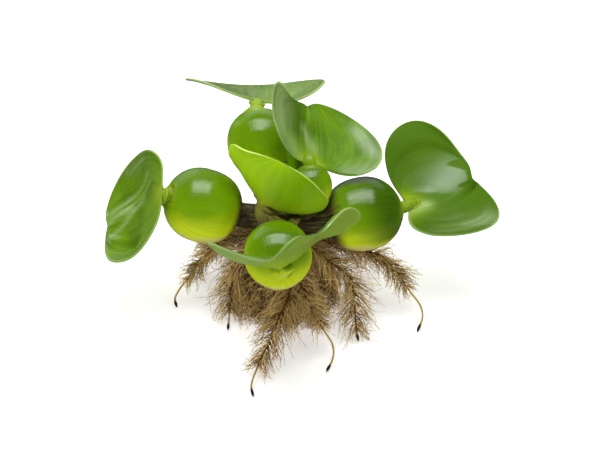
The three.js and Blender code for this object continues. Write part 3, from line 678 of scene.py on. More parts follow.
def float_material(name, top, middle, low, under, deep_and_shaded, crown_end, fibre, neck_end):
    """Glossy green skin. Its colour goes from top through middle and low to under as the surface
    turns to face down, partly as painted light bounced from the floor and at the lowest rim as a
    painted reflection of the floor. It goes to fibrous dark brown at the crown end and to another
    green at the neck. Painted shade, the shadow of a blade over the float, deepens its outer half
    apart from its underside. Streaks run from end to end."""
    material, tree = new_material(name)
    streak = streaks_of(tree, 13.0, 1.3)
    fibres = streaks_of(tree, 9.0, 9.0)
    cloud = use_group(tree, blotches, Size=0.011)
    along = carried(tree, "along")
    down = plus(tree, carried(tree, "down"), times(tree, cloud["Blotch"], 0.12))
    # Darker on top and yellower towards the bottom: partly the float's own colour, partly painted light
    # bounced from the floor. The under colour at the lowest rim is partly a painted reflection of the floor.
    body = mix_colours(tree, ramp(tree, down, -0.95, -0.35), top, middle)
    body = mix_colours(tree, ramp(tree, down, -0.42, 0.2), body, low)
    body = mix_colours(tree, ramp(tree, down, 0.35, 0.7), body, under)
    # Painted shade: the shadow that blades cast on a float, deepest on its outer half, gone underneath.
    painted_shade = times(tree, carried(tree, "painted_shade"), ramp(tree, down, 0.75, 0.25))
    painted_shade = times(tree, painted_shade, ramp(tree, along, -0.75, 0.6))
    body = mix_colours(tree, painted_shade, body, deep_and_shaded)
    body = mix_colours(tree, times(tree, streak["Streak"], 0.22), body, top)
    ragged = plus(tree, along, times(tree, streak["Streak"], 0.12))
    aged = ramp(tree, ragged, -0.5, -0.86)
    bark = mix_colours(tree, ramp(tree, fibres["Streak"], 0.4, 0.8), crown_end, fibre)
    body = mix_colours(tree, aged, body, bark)
    neck = times(tree, ramp(tree, along, 0.86, 1.0), carried(tree, "neck"))
    body = mix_colours(tree, times(tree, neck, 0.9), body, neck_end)
    scars = times(tree, cloud["Speck"], neck)
    body = mix_colours(tree, times(tree, scars, 0.3), body, crown_end)
    roughness = plus(tree, times(tree, streak["Streak"], 0.06), 0.11)
    roughness = plus(tree, roughness, times(tree, aged, 0.45))
    roughness = plus(tree, roughness, times(tree, neck, 0.15))
    add_skin(tree, body, roughness, Normal=bump(tree, streak["Relief"], 0.00016, 0.6),
             Subsurface_Weight=0.15, Subsurface_Radius=(0.6, 1.0, 0.15), Subsurface_Scale=0.003)
    return material


# The deep colour is the green that painted shade takes a float to; the under colour is partly a painted
# reflection of the floor.
float_skin_look = float_material(
    "float skin", top=(0.09, 0.19, 0.001, 1), middle=(0.19, 0.37, 0.001, 1), low=(0.62, 0.76, 0.008, 1),
    under=(0.62, 0.56, 0.17, 1), deep_and_shaded=(0.02, 0.062, 0.001, 1), crown_end=(0.024, 0.016, 0.003, 1),
    fibre=(0.13, 0.10, 0.016, 1), neck_end=(0.24, 0.37, 0.006, 1))
for name, leaf in LEAVES.items():
    rings, along, reach, angle = stalk_rings(leaf)
    skins = [float_skin(rings, angle, reach, along, leaf["painted_shade"], leaf["neck_tone"])]
    if name in FLARED:
        skins.append(gusset(leaf))
    make_piece(f"float_{name}", skins, float_skin_look, "float", f"stalk_{name}")

# Blades
# A blade is a nearly round, thick and glossy leaf, cupped across and wavy at the margin. Its fine
# veins run in arcs from the foot to the tip, and its margin is a pale line. It grows out of the
# neck, which goes on under it as a short keel.
# Pale bluish strokes on some blades are painted sheen, and each blade carries a painted shade.
BLADE_THICKNESS = 1.5
RIM_THICKNESS = 1.0
BLADE_FULLNESS = 0.85
FOLD_START = 0.25
CREASE_SOFTNESS = 0.08
NOTCH_WIDTH = 0.13
OVERLAP_WIDTH = 0.1
EAR_PLACE = 0.16
KEEL_DEPTH = 2.2
KEEL_WIDTH = 2.4
KEEL_LENGTH = 8
PLEAT_DEPTH = 0.16
PLEATS = 9
MARGIN_WIDTH = 0.75
FOOT_SPREAD = 7
# The colour of painted sheen: pale bluish strokes that stand in for light reflected off the gloss.
PAINTED_SHEEN_COLOUR = (0.38, 0.50, 0.20, 1)
BLADE_ACROSS = 96
BLADE_ALONG = 120
FLAT_BLADE = {
    "lift": 0, "flare": 0, "sway": 0, "twist": 0, "fold": 0, "skew": 0, "dip": 0, "wave": 0, "waves": 1.5,
    "phase": 0, "crease": 0, "notch": 0, "overlap": 0, "ear": 0, "fan": 0, "fans": 4, "fan_phase": 0,
    "swells": [], "painted_sheens": [], "sheens": [],
}


def walk(distance, slope_at):
    """How far along and how far up a walk ends, over a slope in degrees that depends on the
    distance walked: the means of the slope's cosine and sine, times the distance."""
    steps = 20
    parts = (np.arange(steps) + 0.5) / steps
    slope = np.radians(slope_at(distance[..., None] * parts))
    return distance * np.cos(slope).mean(-1), distance * np.sin(slope).mean(-1)


def blade_surface(blade, side, reach):
    """A point on the middle of a blade. Side runs from -1 to 1 across it and reach from 0 at the
    foot to 1 at the tip. The width follows a power of a sine of the reach, so that the outline is
    nearly round. Across, the slope is a cubic with one wave of a sine, and along, it is a
    quadratic. Folds, a crease along the midrib, a twist about it, a ripple of the margin and fine
    pleats come on top. A notch dents the tip, an overlap sets one half over the other there, and an
    ear lets the right shoulder reach back. A fan is a few broad pleats that deepen to the tip, and
    each swell is a round hump or hollow, given as its side, its reach, its size and its height."""
    b = {**FLAT_BLADE, **blade}
    swell = np.clip(np.sin(np.pi * reach), 0, 1)
    share = side * swell**BLADE_FULLNESS
    half = np.where(side < 0, b["left"], b["right"])

    def slope_across(distance):
        q = distance / half[..., None]
        bulge = b["sway"] * np.sin(np.pi * q)
        return b["tilt"] + b["cup"] * q + b["lift"] * q**2 + b["flare"] * q**3 + bulge

    def slope_along(distance):
        v = np.clip(distance / b["length"], 0, 1.2)
        return b["arch"] * v + b["droop"] * v**2

    across, rise = walk(share * half, slope_across)
    shoulder = b["lobe"] * side**2 * swell**2 * (1 - reach) * 2
    shoulder = shoulder + b["ear"] * (side > 0) * side**2 * reach / EAR_PLACE * np.exp(1 - reach / EAR_PLACE)
    whole = (1 - np.cos(np.pi * reach)) / 2
    along = b["length"] * whole - shoulder - b["notch"] * np.exp(-(share / NOTCH_WIDTH) ** 2) * whole**6
    part_way = np.clip(along / b["length"], 0, 1)
    turn = np.radians(b["twist"]) * part_way
    past = part_way - FOLD_START
    ripple = b["wave"] * side**2 * swell * np.sin(2 * np.pi * b["waves"] * reach + np.radians(b["phase"]))
    pleat = PLEAT_DEPTH * np.cos(np.pi * PLEATS * side) * swell * (1 - side**2)
    x = across * np.cos(turn) - rise * np.sin(turn)
    z = across * np.sin(turn) + rise * np.cos(turn) + ripple + pleat
    z = z + (b["fold"] * share**2 + b["skew"] * share**3) * past + 4 * b["dip"] * share**2 * past**2
    z = z + b["crease"] * (np.hypot(share, CREASE_SOFTNESS) - CREASE_SOFTNESS) * part_way
    z = z + b["overlap"] * np.tanh(share / OVERLAP_WIDTH) * part_way**3
    z = z + b["fan"] * np.cos(np.pi * b["fans"] * side + np.radians(b["fan_phase"])) * swell * part_way
    for place, onward, size, height in b["swells"]:
        z = z + height * np.exp(-((share - place) ** 2 + (part_way - onward) ** 2) / size**2)
    forward, up = walk(along, slope_along)
    slope = np.radians(slope_along(along))
    midrib, width, upper = blade_axes(b)
    return (np.array(b["foot"]) + x[..., None] * width
            + (forward - z * np.sin(slope))[..., None] * midrib
            + (up + z * np.cos(slope))[..., None] * upper)


def patches(share, part_way, strokes):
    """A mask of soft strokes on a blade. Each stroke runs from one side and reach to another, and
    fades out at its size on both sides of that line."""
    mask = np.zeros(share.shape)
    for side, reach, to_side, to_reach, size, strength in strokes:
        run = np.array([to_side - side, to_reach - reach])
        place = np.stack([share - side, part_way - reach], axis=-1)
        onward = np.clip(place @ run / (run @ run), 0, 1)
        apart = ((place - onward[..., None] * run) ** 2).sum(axis=-1)
        mask = np.maximum(mask, strength * np.exp(-apart / size**2))
    return mask


def blade_skin(blade, painted_shade):
    """The skin of a blade, with its masks: grain along the veins, margin at the rim, foot near the
    neck, under on the lower face, painted sheen where a pale reflection is painted, dull where the
    blade doesn't shine, and the painted shade of the whole blade. A blade that has no list of sheens
    shines all over."""
    blade = {**FLAT_BLADE, **blade}

    def spread(side, reach):
        half = np.where(side < 0, blade["left"], blade["right"])
        across = side * half * np.clip(np.sin(np.pi * reach), 0, 1) ** BLADE_FULLNESS
        return across, half, blade["length"] * (1 - np.cos(np.pi * reach)) / 2

    def thickness(side, reach):
        across, half, along = spread(side, reach)
        middle = (1 - side**2) * np.sin(np.pi * reach)
        each = (RIM_THICKNESS + (BLADE_THICKNESS - RIM_THICKNESS) * middle) / 2
        keel = KEEL_DEPTH * np.exp(-(across / KEEL_WIDTH) ** 2 - along / KEEL_LENGTH)
        return each, each + keel

    skin, side, reach, face = sheet_skin(
        lambda s, t: blade_surface(blade, s, t), thickness, BLADE_ACROSS, BLADE_ALONG)
    across, half, along = spread(side, reach)
    to_margin = half * (1 - np.abs(side)) * np.clip(np.sin(np.pi * reach), 0, 1) ** BLADE_FULLNESS
    share, part_way = across / half, along / blade["length"]
    return skin, {
        "grain": np.stack([side, face * 3.0, reach], axis=-1),
        "margin": np.exp(-(to_margin / MARGIN_WIDTH) ** 2),
        "foot": np.exp(-np.hypot(across, along) / FOOT_SPREAD),
        "under": np.clip(-face, 0, 1) * 1.0,
        "painted_sheen": patches(share, part_way, blade["painted_sheens"]),
        "dull": (1 - patches(share, part_way, blade["sheens"])) * bool(blade["sheens"]),
        "painted_shade": np.full(side.shape, painted_shade),
    }


def blade_material(name, deep_and_shaded, light, foot, rim, under, wax):
    """Leaf tissue: deep green with lighter streaks along the veins, a lighter foot, a pale rim, a
    paler underside and streaks of painted sheen. A blade's painted shade, partly its own tone, takes
    it towards the deep green, and below zero paints it lighter. Its gloss is a coat over matt tissue,
    with the wax as its roughness. The coat is weaker underneath, and gone where the piece is dull."""
    material, tree = new_material(name)
    streak = streaks_of(tree, 26.0, 1.6)
    cloud = use_group(tree, blotches, Size=0.014)
    below = carried(tree, "under")
    mixed = plus(tree, times(tree, streak["Streak"], 0.4), times(tree, cloud["Blotch"], 0.5))
    # A blade's painted shade darkens it towards the deep green, and a value below zero paints light; it is
    # partly the blade's own tone.
    mixed = combine(tree, "SUBTRACT", mixed, carried(tree, "painted_shade"))
    body = mix_colours(tree, mixed, deep_and_shaded, light)
    body = mix_colours(tree, times(tree, below, 0.8), body, under)
    body = mix_colours(tree, ramp(tree, carried(tree, "foot"), 0.1, 0.8), body, foot)
    edge = ramp(tree, carried(tree, "margin"), 0.15, 0.9)
    body = mix_colours(tree, times(tree, edge, 0.85), body, rim)
    # Painted sheen: pale bluish streaks that stand in for reflected light.
    painted_sheen = times(tree, carried(tree, "painted_sheen"), ramp(tree, streak["Streak"], 0.0, 0.7, 0.5, 1.0))
    body = mix_colours(tree, painted_sheen, body, PAINTED_SHEEN_COLOUR)
    matt = plus(tree, times(tree, streak["Streak"], 0.1), 0.4)
    polish = combine(tree, "SUBTRACT", 1.0, carried(tree, "dull"))
    polish = times(tree, polish, ramp(tree, below, 0.0, 1.0, 1.0, 0.6))
    polish = times(tree, polish, ramp(tree, streak["Relief"], 0.1, 0.9, 0.65, 1.0))
    add_skin(tree, body, matt, Normal=bump(tree, streak["Relief"], 0.0003, 0.6), Specular_IOR_Level=0.1,
             Coat_Weight=polish, Coat_Roughness=wax, Subsurface_Weight=0.1,
             Subsurface_Radius=(0.5, 1.0, 0.1), Subsurface_Scale=0.002)
    return material


blade_look = blade_material(
    "leaf blade", deep_and_shaded=(0.066, 0.155, 0.001, 1), light=(0.17, 0.33, 0.001, 1), foot=(0.28, 0.42, 0.004, 1),
    rim=(0.27, 0.41, 0.10, 1), under=(0.22, 0.36, 0.03, 1), wax=0.13)
for name, leaf in LEAVES.items():
    skin, masks = blade_skin(leaf["blade"], leaf["blade"]["painted_shade"])
    make_piece(f"leaf_{name}", [(skin, masks)], blade_look, "blade", f"blade_{name}")

# Young leaf
# The young leaf in front of the crown has no float yet: a short pale stalk in a sheath carries a
# thin yellow-green blade, seen from its lower face, that lets the light through. Its bright green is
# partly its own colour and partly painted light through the blade, and a painted gradient makes it
# paler to the left and deeper to the right.
YOUNG_STALK = {
    "start": (-4.5, -4, 45), "middle": (-7.5, -4.8, 53), "foot": (-9.1, -4.4, 58.9),
    "radius": 5.2, "belly": 5.6, "tip": 3.4,
}
YOUNG_BLADE = {
    "foot": (-9.1, -4.4, 58.9), "heading": -83, "rise": 39.2, "roll": -25.6,
    "left": 30, "right": 29, "length": 33.7, "lobe": 5.4,
    "tilt": 17, "cup": 45.5, "lift": -24, "flare": -6.8, "sway": 8, "arch": 57, "droop": 15.8,
    "fold": -5.2, "skew": 1.7, "wave": 2.3, "waves": 1.87, "phase": 28,
}
# Painted light and shade across the young blade: its painted shade goes from -0.55, paler, to 0.55, deeper, as
# x goes from -24 to 16 mm.
YOUNG_PAINTED_LIGHT_SPAN = (-24, 16)
YOUNG_PAINTED_SHADES = (-0.55, 0.55)
SHOOT_SIDES = 48
SHOOT_ROWS = 60
SHOOT_WINDING = 0.35


def smooth_route(stations, count):
    """A smooth curve through a few points, as points at equal distances along it. Between two
    stations it is a cubic, and its slope at a station is the mean of the slopes on either side,
    each weighted by the other's span. A span is the square root of its length."""
    p = np.array(stations, float)
    span = np.linalg.norm(np.diff(p, axis=0), axis=1) ** 0.5
    knots = np.concatenate([[0], span.cumsum()])
    slope = np.diff(p, axis=0) / span[:, None]
    inner = (slope[:-1] * span[1:, None] + slope[1:] * span[:-1, None]) / (span[:-1] + span[1:])[:, None]
    slopes = np.concatenate([slope[:1], inner, slope[-1:]])
    where = np.linspace(0, knots[-1], 40 * len(p))
    i = np.clip(np.searchsorted(knots, where, side="right") - 1, 0, len(span) - 1)
    u = ((where - knots[i]) / span[i])[:, None]
    h = span[i][:, None]
    curve = ((2 * u**3 - 3 * u**2 + 1) * p[i] + (u**3 - 2 * u**2 + u) * h * slopes[i]
             + (3 * u**2 - 2 * u**3) * p[i + 1] + (u**3 - u**2) * h * slopes[i + 1])
    walked = np.concatenate([[0], np.linalg.norm(np.diff(curve, axis=0), axis=1).cumsum()])
    even = np.linspace(0, walked[-1], count)
    return np.stack([np.interp(even, walked, curve[:, axis]) for axis in range(3)], axis=-1)


def shoot_rings(shoot, lap):
    """Rings round a short bent shoot. The radius goes from the foot's to the tip's and swells to the
    belly between them as a sine does. A lap makes each ring a spiral that steps in once round."""
    route = smooth_route([shoot["start"], shoot["middle"], shoot["foot"]], SHOOT_ROWS)
    part = np.linspace(0, 1, SHOOT_ROWS)[:, None]
    end = shoot["radius"] + (shoot["tip"] - shoot["radius"]) * np.clip(2 * part - 0.5, 0, 1)
    radius = end + (shoot["belly"] - end) * np.sin(np.pi * part)
    radius = radius * np.sqrt(1 - np.clip(part * 30 - 29.02, 0, 0.98) ** 2)
    turn = np.arange(SHOOT_SIDES) / SHOOT_SIDES
    angle = turn * 2 * np.pi
    wound = (turn + SHOOT_WINDING * part) % 1
    radius = radius * (1 - lap * wound * np.clip((1 - wound) * SHOOT_SIDES / 3, 0, 1))
    rings = rings_along(route, radius, picture_right, SHOOT_SIDES)
    return rings, round_grain(angle, part), part


# The young blade's bright greens are partly its own colour and partly painted light through the thin blade.
young_blade_look = blade_material(
    "young leaf blade", deep_and_shaded=(0.17, 0.37, 0.001, 1), light=(0.60, 0.90, 0.001, 1),
    foot=(0.46, 0.42, 0.04, 1), rim=(0.44, 0.60, 0.10, 1), under=(0.32, 0.56, 0.001, 1), wax=0.14)
skin, masks = blade_skin(YOUNG_BLADE, 0.0)
# Painted light to the left and painted shade to the right, by x.
masks["painted_shade"] = np.interp(skin[..., 0], YOUNG_PAINTED_LIGHT_SPAN, YOUNG_PAINTED_SHADES)
make_piece("young_leaf", [(skin, masks)], young_blade_look, "young_leaf", "blade_young")

young_stalk_look = fibre_material(
    "young stalk", dark=(0.09, 0.075, 0.01, 1), pale=(0.34, 0.31, 0.045, 1), tip=(0.34, 0.36, 0.03, 1),
    count=12.0)
rings, grain, part = shoot_rings(YOUNG_STALK, 0)
masks = {"grain": grain[None], "reach": np.broadcast_to(part, rings.shape[:2])[None]}
make_piece("young_leaf_stalk", [(rings[None], masks)], young_stalk_look, "young_leaf", "stalk_young")

# Bud
# The youngest leaf is still rolled up on itself, a pale green spike between the floats.
BUD = {"start": (1, 3, 50), "middle": (4.4, 8.5, 64), "foot": (7.2, 11, 80.5),
       "radius": 2.2, "belly": 4.6, "tip": 1.7}
BUD_LAP = 0.14
BUD_PALE_FOOT = 0.4
# Painted shade: the bud stands in shadow between the floats and blades.
BUD_PAINTED_SHADE = 0.3

rings, grain, part = shoot_rings(BUD, BUD_LAP)
plain = 0 * grain[None, ..., 0]
masks = {"grain": grain[None], "margin": plain, "under": plain, "painted_sheen": plain, "dull": plain,
         "foot": np.broadcast_to(BUD_PALE_FOOT * (1 - part), rings.shape[:2])[None],
         "painted_shade": plain + BUD_PAINTED_SHADE}
make_piece("rolled_leaf", [(rings[None], masks)], young_blade_look, "young_leaf", "bud")

# Feathery roots
# Each root is a thin brown cord with side roots all round it, as a feather has its barbs. They
# sweep towards the tip, which is bare and dark. The roots lie on the floor at their tips.
MAIN_ROOT_RADIUS = 0.7
MAIN_ROOT_SIDES = 8
MAIN_ROOT_ROWS = 90
ROOT_TIP_RADIUS = 0.4
ROOT_TIP_SWELL = 0.8
ROOT_TIP_SWELL_AT = 0.97
ROOT_TIP_SWELL_SIZE = 0.025
ROOT_KNOBS = 0.12
SIDE_ROOTS_PER_MM = 6
SIDE_ROOT_RADIUS = 0.22
SIDE_ROOT_TIP_RADIUS = 0.1
SIDE_ROOT_STEPS = 5
SIDE_ROOT_SIDES = 3
SIDE_ROOT_LENGTHS = (0.62, 1.15)
SIDE_ROOTS_FROM = 0.03
SIDE_ROOT_CURL = 0.15
SIDE_ROOT_WAVER = 0.1
SIDE_ROOT_STRAY = 0.14
SIDE_ROOT_SAG = 0.1
SWEEP = (42, 60)
PLUME_BLUNTNESS = 0.6
PLUME_FLATNESS = 0.5
FLOOR_CLEARANCE = 0.16
FLOOR_EASE = 0.3
CORD = (0.13, 0.055, 0.01, 1)
CORD_BARE = (0.48, 0.31, 0.09, 1)
CORD_TIP = (0.02, 0.012, 0.003, 1)
BARB_DARK = (0.07, 0.033, 0.007, 1)
BARB_GOLD = (0.80, 0.53, 0.18, 1)
BARB_SHADOW = (0.16, 0.085, 0.018, 1)
BARB_END = (0.84, 0.62, 0.26, 1)
ROOTS = {
    "outer_left": (9, 0.76, [(-5, 0, 39), (-16, 1, 36), (-28, 0, 32), (-37, -2, 25),
                       (-44, -5, 16), (-50, -7, 8), (-52, -9, 4), (-51, -12, 1.5)]),
    "left": (12, 0.84, [(-4, -3, 39), (-14, -8, 35), (-22, -9, 30), (-24, -12, 18),
                        (-25, -17, 8), (-26, -28, 1.5)]),
    "front": (11.5, 0.8, [(0, -5, 39), (2, -20, 33), (3, -33, 28), (0, -40, 24),
                   (-6, -49, 14), (-11, -57, 6), (-14, -66, 2), (-13, -72, 1.2)]),
    "front_right": (9, 0.68, [(3, -4, 39), (6, -18, 34), (9, -30, 29), (13, -35, 22),
                        (18, -39, 13), (23, -44, 6), (23, -49, 3), (20, -56, 1.2)]),
    "right": (12, 0.92, [(5, -2, 39), (19, -13, 33), (31, -20, 27), (33, -26, 18),
                         (34, -31, 7), (35, -36, 1.5)]),
    "outer_right": (10, 0.7, [(6, 0, 39), (22, 0, 32), (36, 0, 27), (46, -2, 25), (54, -9, 20),
                        (60, -14, 13), (65, -16, 6), (66, -20, 3), (63, -29, 1.2)]),
    "left_back": (8, 0.86, [(-5, 2, 39), (-16, 5, 34), (-28, 8, 25), (-39, 13, 12),
                            (-44, 16, 4), (-47, 18, 1.5)]),
    "back_left": (9, 0.86, [(-3, 4, 39), (-14, 11, 33), (-26, 20, 22), (-36, 30, 10),
                            (-42, 37, 3), (-44, 43, 1.5)]),
    "back": (10, 0.86, [(0, 5, 39), (-3, 13, 34), (-6, 26, 22), (-8, 40, 9), (-9, 50, 3), (-7, 57, 1.5)]),
    "back_right": (9, 0.86, [(3, 4, 39), (12, 12, 33), (24, 21, 22), (34, 31, 10),
                             (40, 38, 3), (44, 42, 1.5)]),
    "right_back": (8, 0.86, [(5, 2, 39), (17, 6, 33), (30, 11, 23), (42, 16, 11),
                             (49, 20, 4), (52, 22, 1.5)]),
}


def above_floor(points):
    """The points with their heights kept over the floor: a height below the clearance is raised to
    it, and heights just above it are eased up, by the square root of a sum of squares."""
    lifted = points.copy()
    height = points[..., 2] - FLOOR_CLEARANCE
    lifted[..., 2] = FLOOR_CLEARANCE + (height + np.sqrt(height**2 + FLOOR_EASE)) / 2
    return lifted


def hair_skins(path):
    """Thin skins that taper along many paths at once, each with a shade of its own. The strand mask
    holds the place along the hair, a one that marks a hair, and its shade."""
    count = len(path)
    part = np.linspace(0, 1, SIDE_ROOT_STEPS)[:, None]
    radius = SIDE_ROOT_RADIUS + (SIDE_ROOT_TIP_RADIUS - SIDE_ROOT_RADIUS) * part
    rings = rings_along(path, radius, random.normal(0, 1, (count, 1, 3)), SIDE_ROOT_SIDES)
    tone = random.uniform(0, 1, (count, 1, 1))
    strand = np.stack(np.broadcast_arrays(part, 1.0, tone, rings[..., 0])[:3], axis=-1)
    return rings, {"strand": strand}


def side_roots(route, reach, per_mm, bare_from, bluntness, flatness):
    """Skins of the side roots of one root. Each leaves the root to the left or the right, off level
    by a random angle that the flatness scales, and at a sweep from its direction, and curves
    towards the tip. Its length follows the plume's outline, a power of a sine of its place along
    the root, with a random share."""
    length = np.linalg.norm(np.diff(route, axis=0), axis=1).sum()
    count = int(length * per_mm)
    where = np.sort(random.uniform(SIDE_ROOTS_FROM, bare_from, count))
    spots = np.arange(len(route)) / (len(route) - 1)
    foot = np.stack([np.interp(where, spots, route[:, axis]) for axis in range(3)], axis=-1)
    forward = np.gradient(route, axis=0)
    forward = unit(np.stack([np.interp(where, spots, forward[:, axis]) for axis in range(3)], axis=-1))
    sideways = unit(np.cross(forward, (0, 0, 1)))
    upwards = np.cross(sideways, forward)
    around = np.pi * random.integers(0, 2, (count, 1)) + random.normal(0, flatness, (count, 1))
    out = np.cos(around) * sideways + np.sin(around) * upwards
    sweep = np.radians(random.uniform(*SWEEP, (count, 1)))
    outline = np.sin(np.pi * (0.12 + 0.8 * where / bare_from)) ** bluntness
    long = reach * outline * random.uniform(*SIDE_ROOT_LENGTHS, count) / np.sin(sweep[:, 0])
    k = np.linspace(0, 1, SIDE_ROOT_STEPS)[:, None]
    turned = sweep[:, None] * (1 - SIDE_ROOT_CURL * k)
    line = np.cos(turned) * forward[:, None] + np.sin(turned) * out[:, None]
    waver = random.normal(0, SIDE_ROOT_WAVER, (count, 1, 3)) * np.sin(2.4 * k * np.pi)
    waver = waver + random.normal(0, SIDE_ROOT_STRAY, (count, 1, 3)) * k
    path = foot[:, None] + long[:, None, None] * k * (line + waver)
    path[..., 2] -= SIDE_ROOT_SAG * long[:, None] * k[:, 0] ** 2
    return hair_skins(above_floor(path))


def main_root(route, radius, tip_radius, bare_from, sides):
    """The skin of a root's own cord, which tapers to its tip, is knobbly where side roots start, and
    swells a little just before its very end. The third value of its strand mask is where its bare
    stretch starts."""
    part = np.linspace(0, 1, len(route))
    knobs = 1 + ROOT_KNOBS * np.sin(47 * part) * np.sin(31 * part + 1)
    cap = 1 + ROOT_TIP_SWELL * np.exp(-((part - ROOT_TIP_SWELL_AT) / ROOT_TIP_SWELL_SIZE) ** 2)
    thick = (radius + (tip_radius - radius) * part) * knobs * cap * np.clip((1.02 - part) * 30, 0.2, 1)
    rings = rings_along(above_floor(route), thick[:, None], np.array([0.3, 0.2, 1]), sides)
    strand = np.stack(np.broadcast_arrays(part[:, None], 0.0, bare_from + 0 * rings[..., 0]), axis=-1)
    return rings[None], {"strand": strand[None]}


def root_material():
    """Root tissue: red-brown cords, golden where they are bare and nearly black at the tip, and side
    roots between dark brown and gold, each of its own shade, that are paler towards their ends."""
    material, tree = new_material("root")
    strand = add_node(tree, "ShaderNodeSeparateXYZ", Vector=carried(tree, "strand", "Vector"))
    along, kind, tone = strand.outputs
    cloud = use_group(tree, blotches, Size=0.009)
    bare = ramp(tree, combine(tree, "SUBTRACT", along, tone), -0.02, 0.06)
    cord = mix_colours(tree, bare, CORD, CORD_BARE)
    cord = mix_colours(tree, ramp(tree, along, 0.93, 0.965), cord, CORD_TIP)
    barb = mix_colours(tree, ramp(tree, tone, 0.2, 0.7), BARB_DARK, BARB_GOLD)
    barb = mix_colours(tree, times(tree, cloud["Blotch"], 0.2), barb, BARB_SHADOW)
    barb = mix_colours(tree, ramp(tree, along, 0.0, 1.0, 0.0, 0.4), barb, BARB_END)
    body = mix_colours(tree, kind, cord, barb)
    add_skin(tree, body, 0.65, Specular_IOR_Level=0.2)
    return material


root_look = root_material()
for name, (reach, bare_from, stations) in ROOTS.items():
    route = smooth_route(stations, MAIN_ROOT_ROWS)
    skins = [main_root(route, MAIN_ROOT_RADIUS, ROOT_TIP_RADIUS, bare_from, MAIN_ROOT_SIDES),
             side_roots(route, reach, SIDE_ROOTS_PER_MM, bare_from, PLUME_BLUNTNESS, PLUME_FLATNESS)]
    make_piece(f"feather_root_{name}", skins, root_look, "root", f"root_{name}")

# Root tuft
# The dense middle of the root mass: shorter roots of the same kind that bend out and down from the
# crown, matted round a dark core, with a flat foot where the plant stands on it.
TUFT_TOP_RADIUS = 14
TUFT_FOOT_RADIUS = 27
TUFT_CORE = 0.76
TUFT_CORE_ROWS = 50
TUFT_CORE_SIDES = 90
TUFT_ROOTS = 56
TUFT_ROOT_RADIUS = 0.5
TUFT_ROOT_TIP_RADIUS = 0.3
TUFT_ROOT_SIDES = 5
TUFT_ROOT_ROWS = 26
TUFT_BARE_FROM = 0.95
TUFT_BLUNTNESS = 0.3
TUFT_SIDE_ROOTS_PER_MM = 0.9
TUFT_STRANDS = 3600
TUFT_STRAND_LENGTH = (3, 9)
TUFT_STRAND_DEPTH = (0.68, 1.0)
TUFT_STRAND_TURN = 0.9
TUFT_STRAND_BEND = 0.35
TUFT_STRAND_WAVER = 0.16
TUFT_REACH = 6
TUFT_LOCKS = 8
TUFT_LOCK_DEPTH = 0.09
TUFT_RIDGES = 29
TUFT_RIDGE_DEPTH = 0.04
TUFT_TOP_SHARE = 0.6
TUFT_HEADING_SPREAD = 12
GOLDEN_ANGLE = 137.5


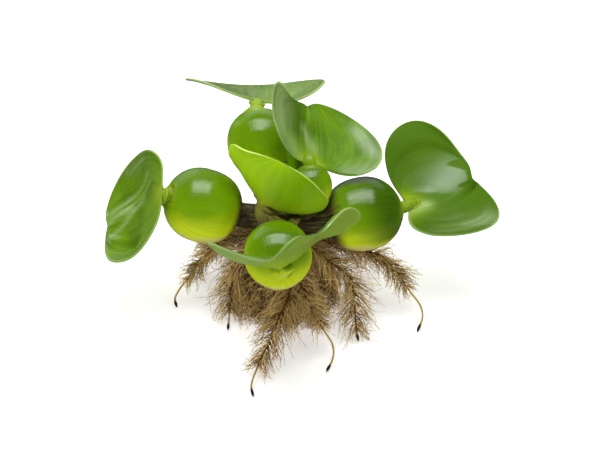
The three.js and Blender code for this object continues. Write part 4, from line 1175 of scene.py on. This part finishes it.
def matted_strands(count):
    """Skins of short strands that lie tangled round the mound. Each starts at a random place near
    the mound's side, runs down it or round it, and bends two ways as it goes."""
    part = random.uniform(0.04, 1, count) ** 0.7
    heading = random.uniform(0, 2 * np.pi, count)
    widening = np.sin(part * np.pi / 2)
    spread = TUFT_TOP_RADIUS + (TUFT_FOOT_RADIUS - TUFT_TOP_RADIUS) * widening
    spread = spread * random.uniform(*TUFT_STRAND_DEPTH, count)
    outwards = np.stack([np.cos(heading), np.sin(heading), 0 * heading], axis=-1)
    spot = spread[:, None] * outwards
    spot[:, 2] = (CROWN_BOTTOM - 1) * (1 - part)
    slope = (TUFT_FOOT_RADIUS - TUFT_TOP_RADIUS) * np.cos(part * np.pi / 2) * np.pi / 2
    downwards = unit(slope[:, None] * outwards - (0, 0, CROWN_BOTTOM - 1))
    turn = random.normal(0, TUFT_STRAND_TURN, (count, 1))
    line = np.cos(turn) * downwards + np.sin(turn) * np.cross(outwards, downwards)
    k = np.linspace(0, 1, SIDE_ROOT_STEPS)[:, None]
    bent = random.normal(0, TUFT_STRAND_BEND, (count, 1, 3)) * k
    bent = bent + random.normal(0, TUFT_STRAND_WAVER, (count, 1, 3)) * np.sin(2 * np.pi * k)
    long = random.uniform(*TUFT_STRAND_LENGTH, (count, 1, 1))
    return hair_skins(above_floor(spot[:, None] + long * (k * line[:, None] + bent)))


tuft_skins = [matted_strands(TUFT_STRANDS)]
for turn in range(TUFT_ROOTS):
    heading = turn * GOLDEN_ANGLE + random.uniform(-TUFT_HEADING_SPREAD, TUFT_HEADING_SPREAD)
    share = np.sqrt((turn + 1) / TUFT_ROOTS)
    spread = TUFT_FOOT_RADIUS * share
    out = directed(heading, 0)
    top = out * TUFT_TOP_RADIUS * TUFT_TOP_SHARE * share + (0, 0, CROWN_BOTTOM + 1)
    belly = out * (spread * 0.72 + 2) + (0, 0, CROWN_BOTTOM * 0.55)
    stations = [top, belly, out * spread + (0, 0, 6), out * (spread + 1) + (0, 0, 0.8)]
    route = smooth_route(stations, TUFT_ROOT_ROWS)
    tuft_skins.append(
        main_root(route, TUFT_ROOT_RADIUS, TUFT_ROOT_TIP_RADIUS, TUFT_BARE_FROM, TUFT_ROOT_SIDES))
    tuft_skins.append(
        side_roots(route, TUFT_REACH, TUFT_SIDE_ROOTS_PER_MM, TUFT_BARE_FROM, TUFT_BLUNTNESS, np.pi))

part = np.linspace(0, 1, TUFT_CORE_ROWS)[:, None]
angle = turns(TUFT_CORE_SIDES)
mound = TUFT_CORE * (TUFT_TOP_RADIUS + (TUFT_FOOT_RADIUS - TUFT_TOP_RADIUS) * np.sin(part * np.pi / 2))
locks = 1 + TUFT_LOCK_DEPTH * part * np.cos(TUFT_LOCKS * angle + 1.5 * part)
locks = locks + TUFT_RIDGE_DEPTH * np.sin(TUFT_RIDGES * angle + 9 * part)
core_path = np.stack([0 * part[:, 0], 0 * part[:, 0], (CROWN_BOTTOM - 1) * (1 - part[:, 0])], axis=-1)
core_rings = rings_along(core_path, mound * locks, picture_right, TUFT_CORE_SIDES)
core_strand = np.stack(np.broadcast_arrays(0.1, 1.0, 0.35 + 0 * core_rings[..., 0]), axis=-1)
tuft_skins.append((core_rings[None], {"strand": core_strand[None]}))
make_piece("root_mass", tuft_skins, root_look, "root", "root_tuft")
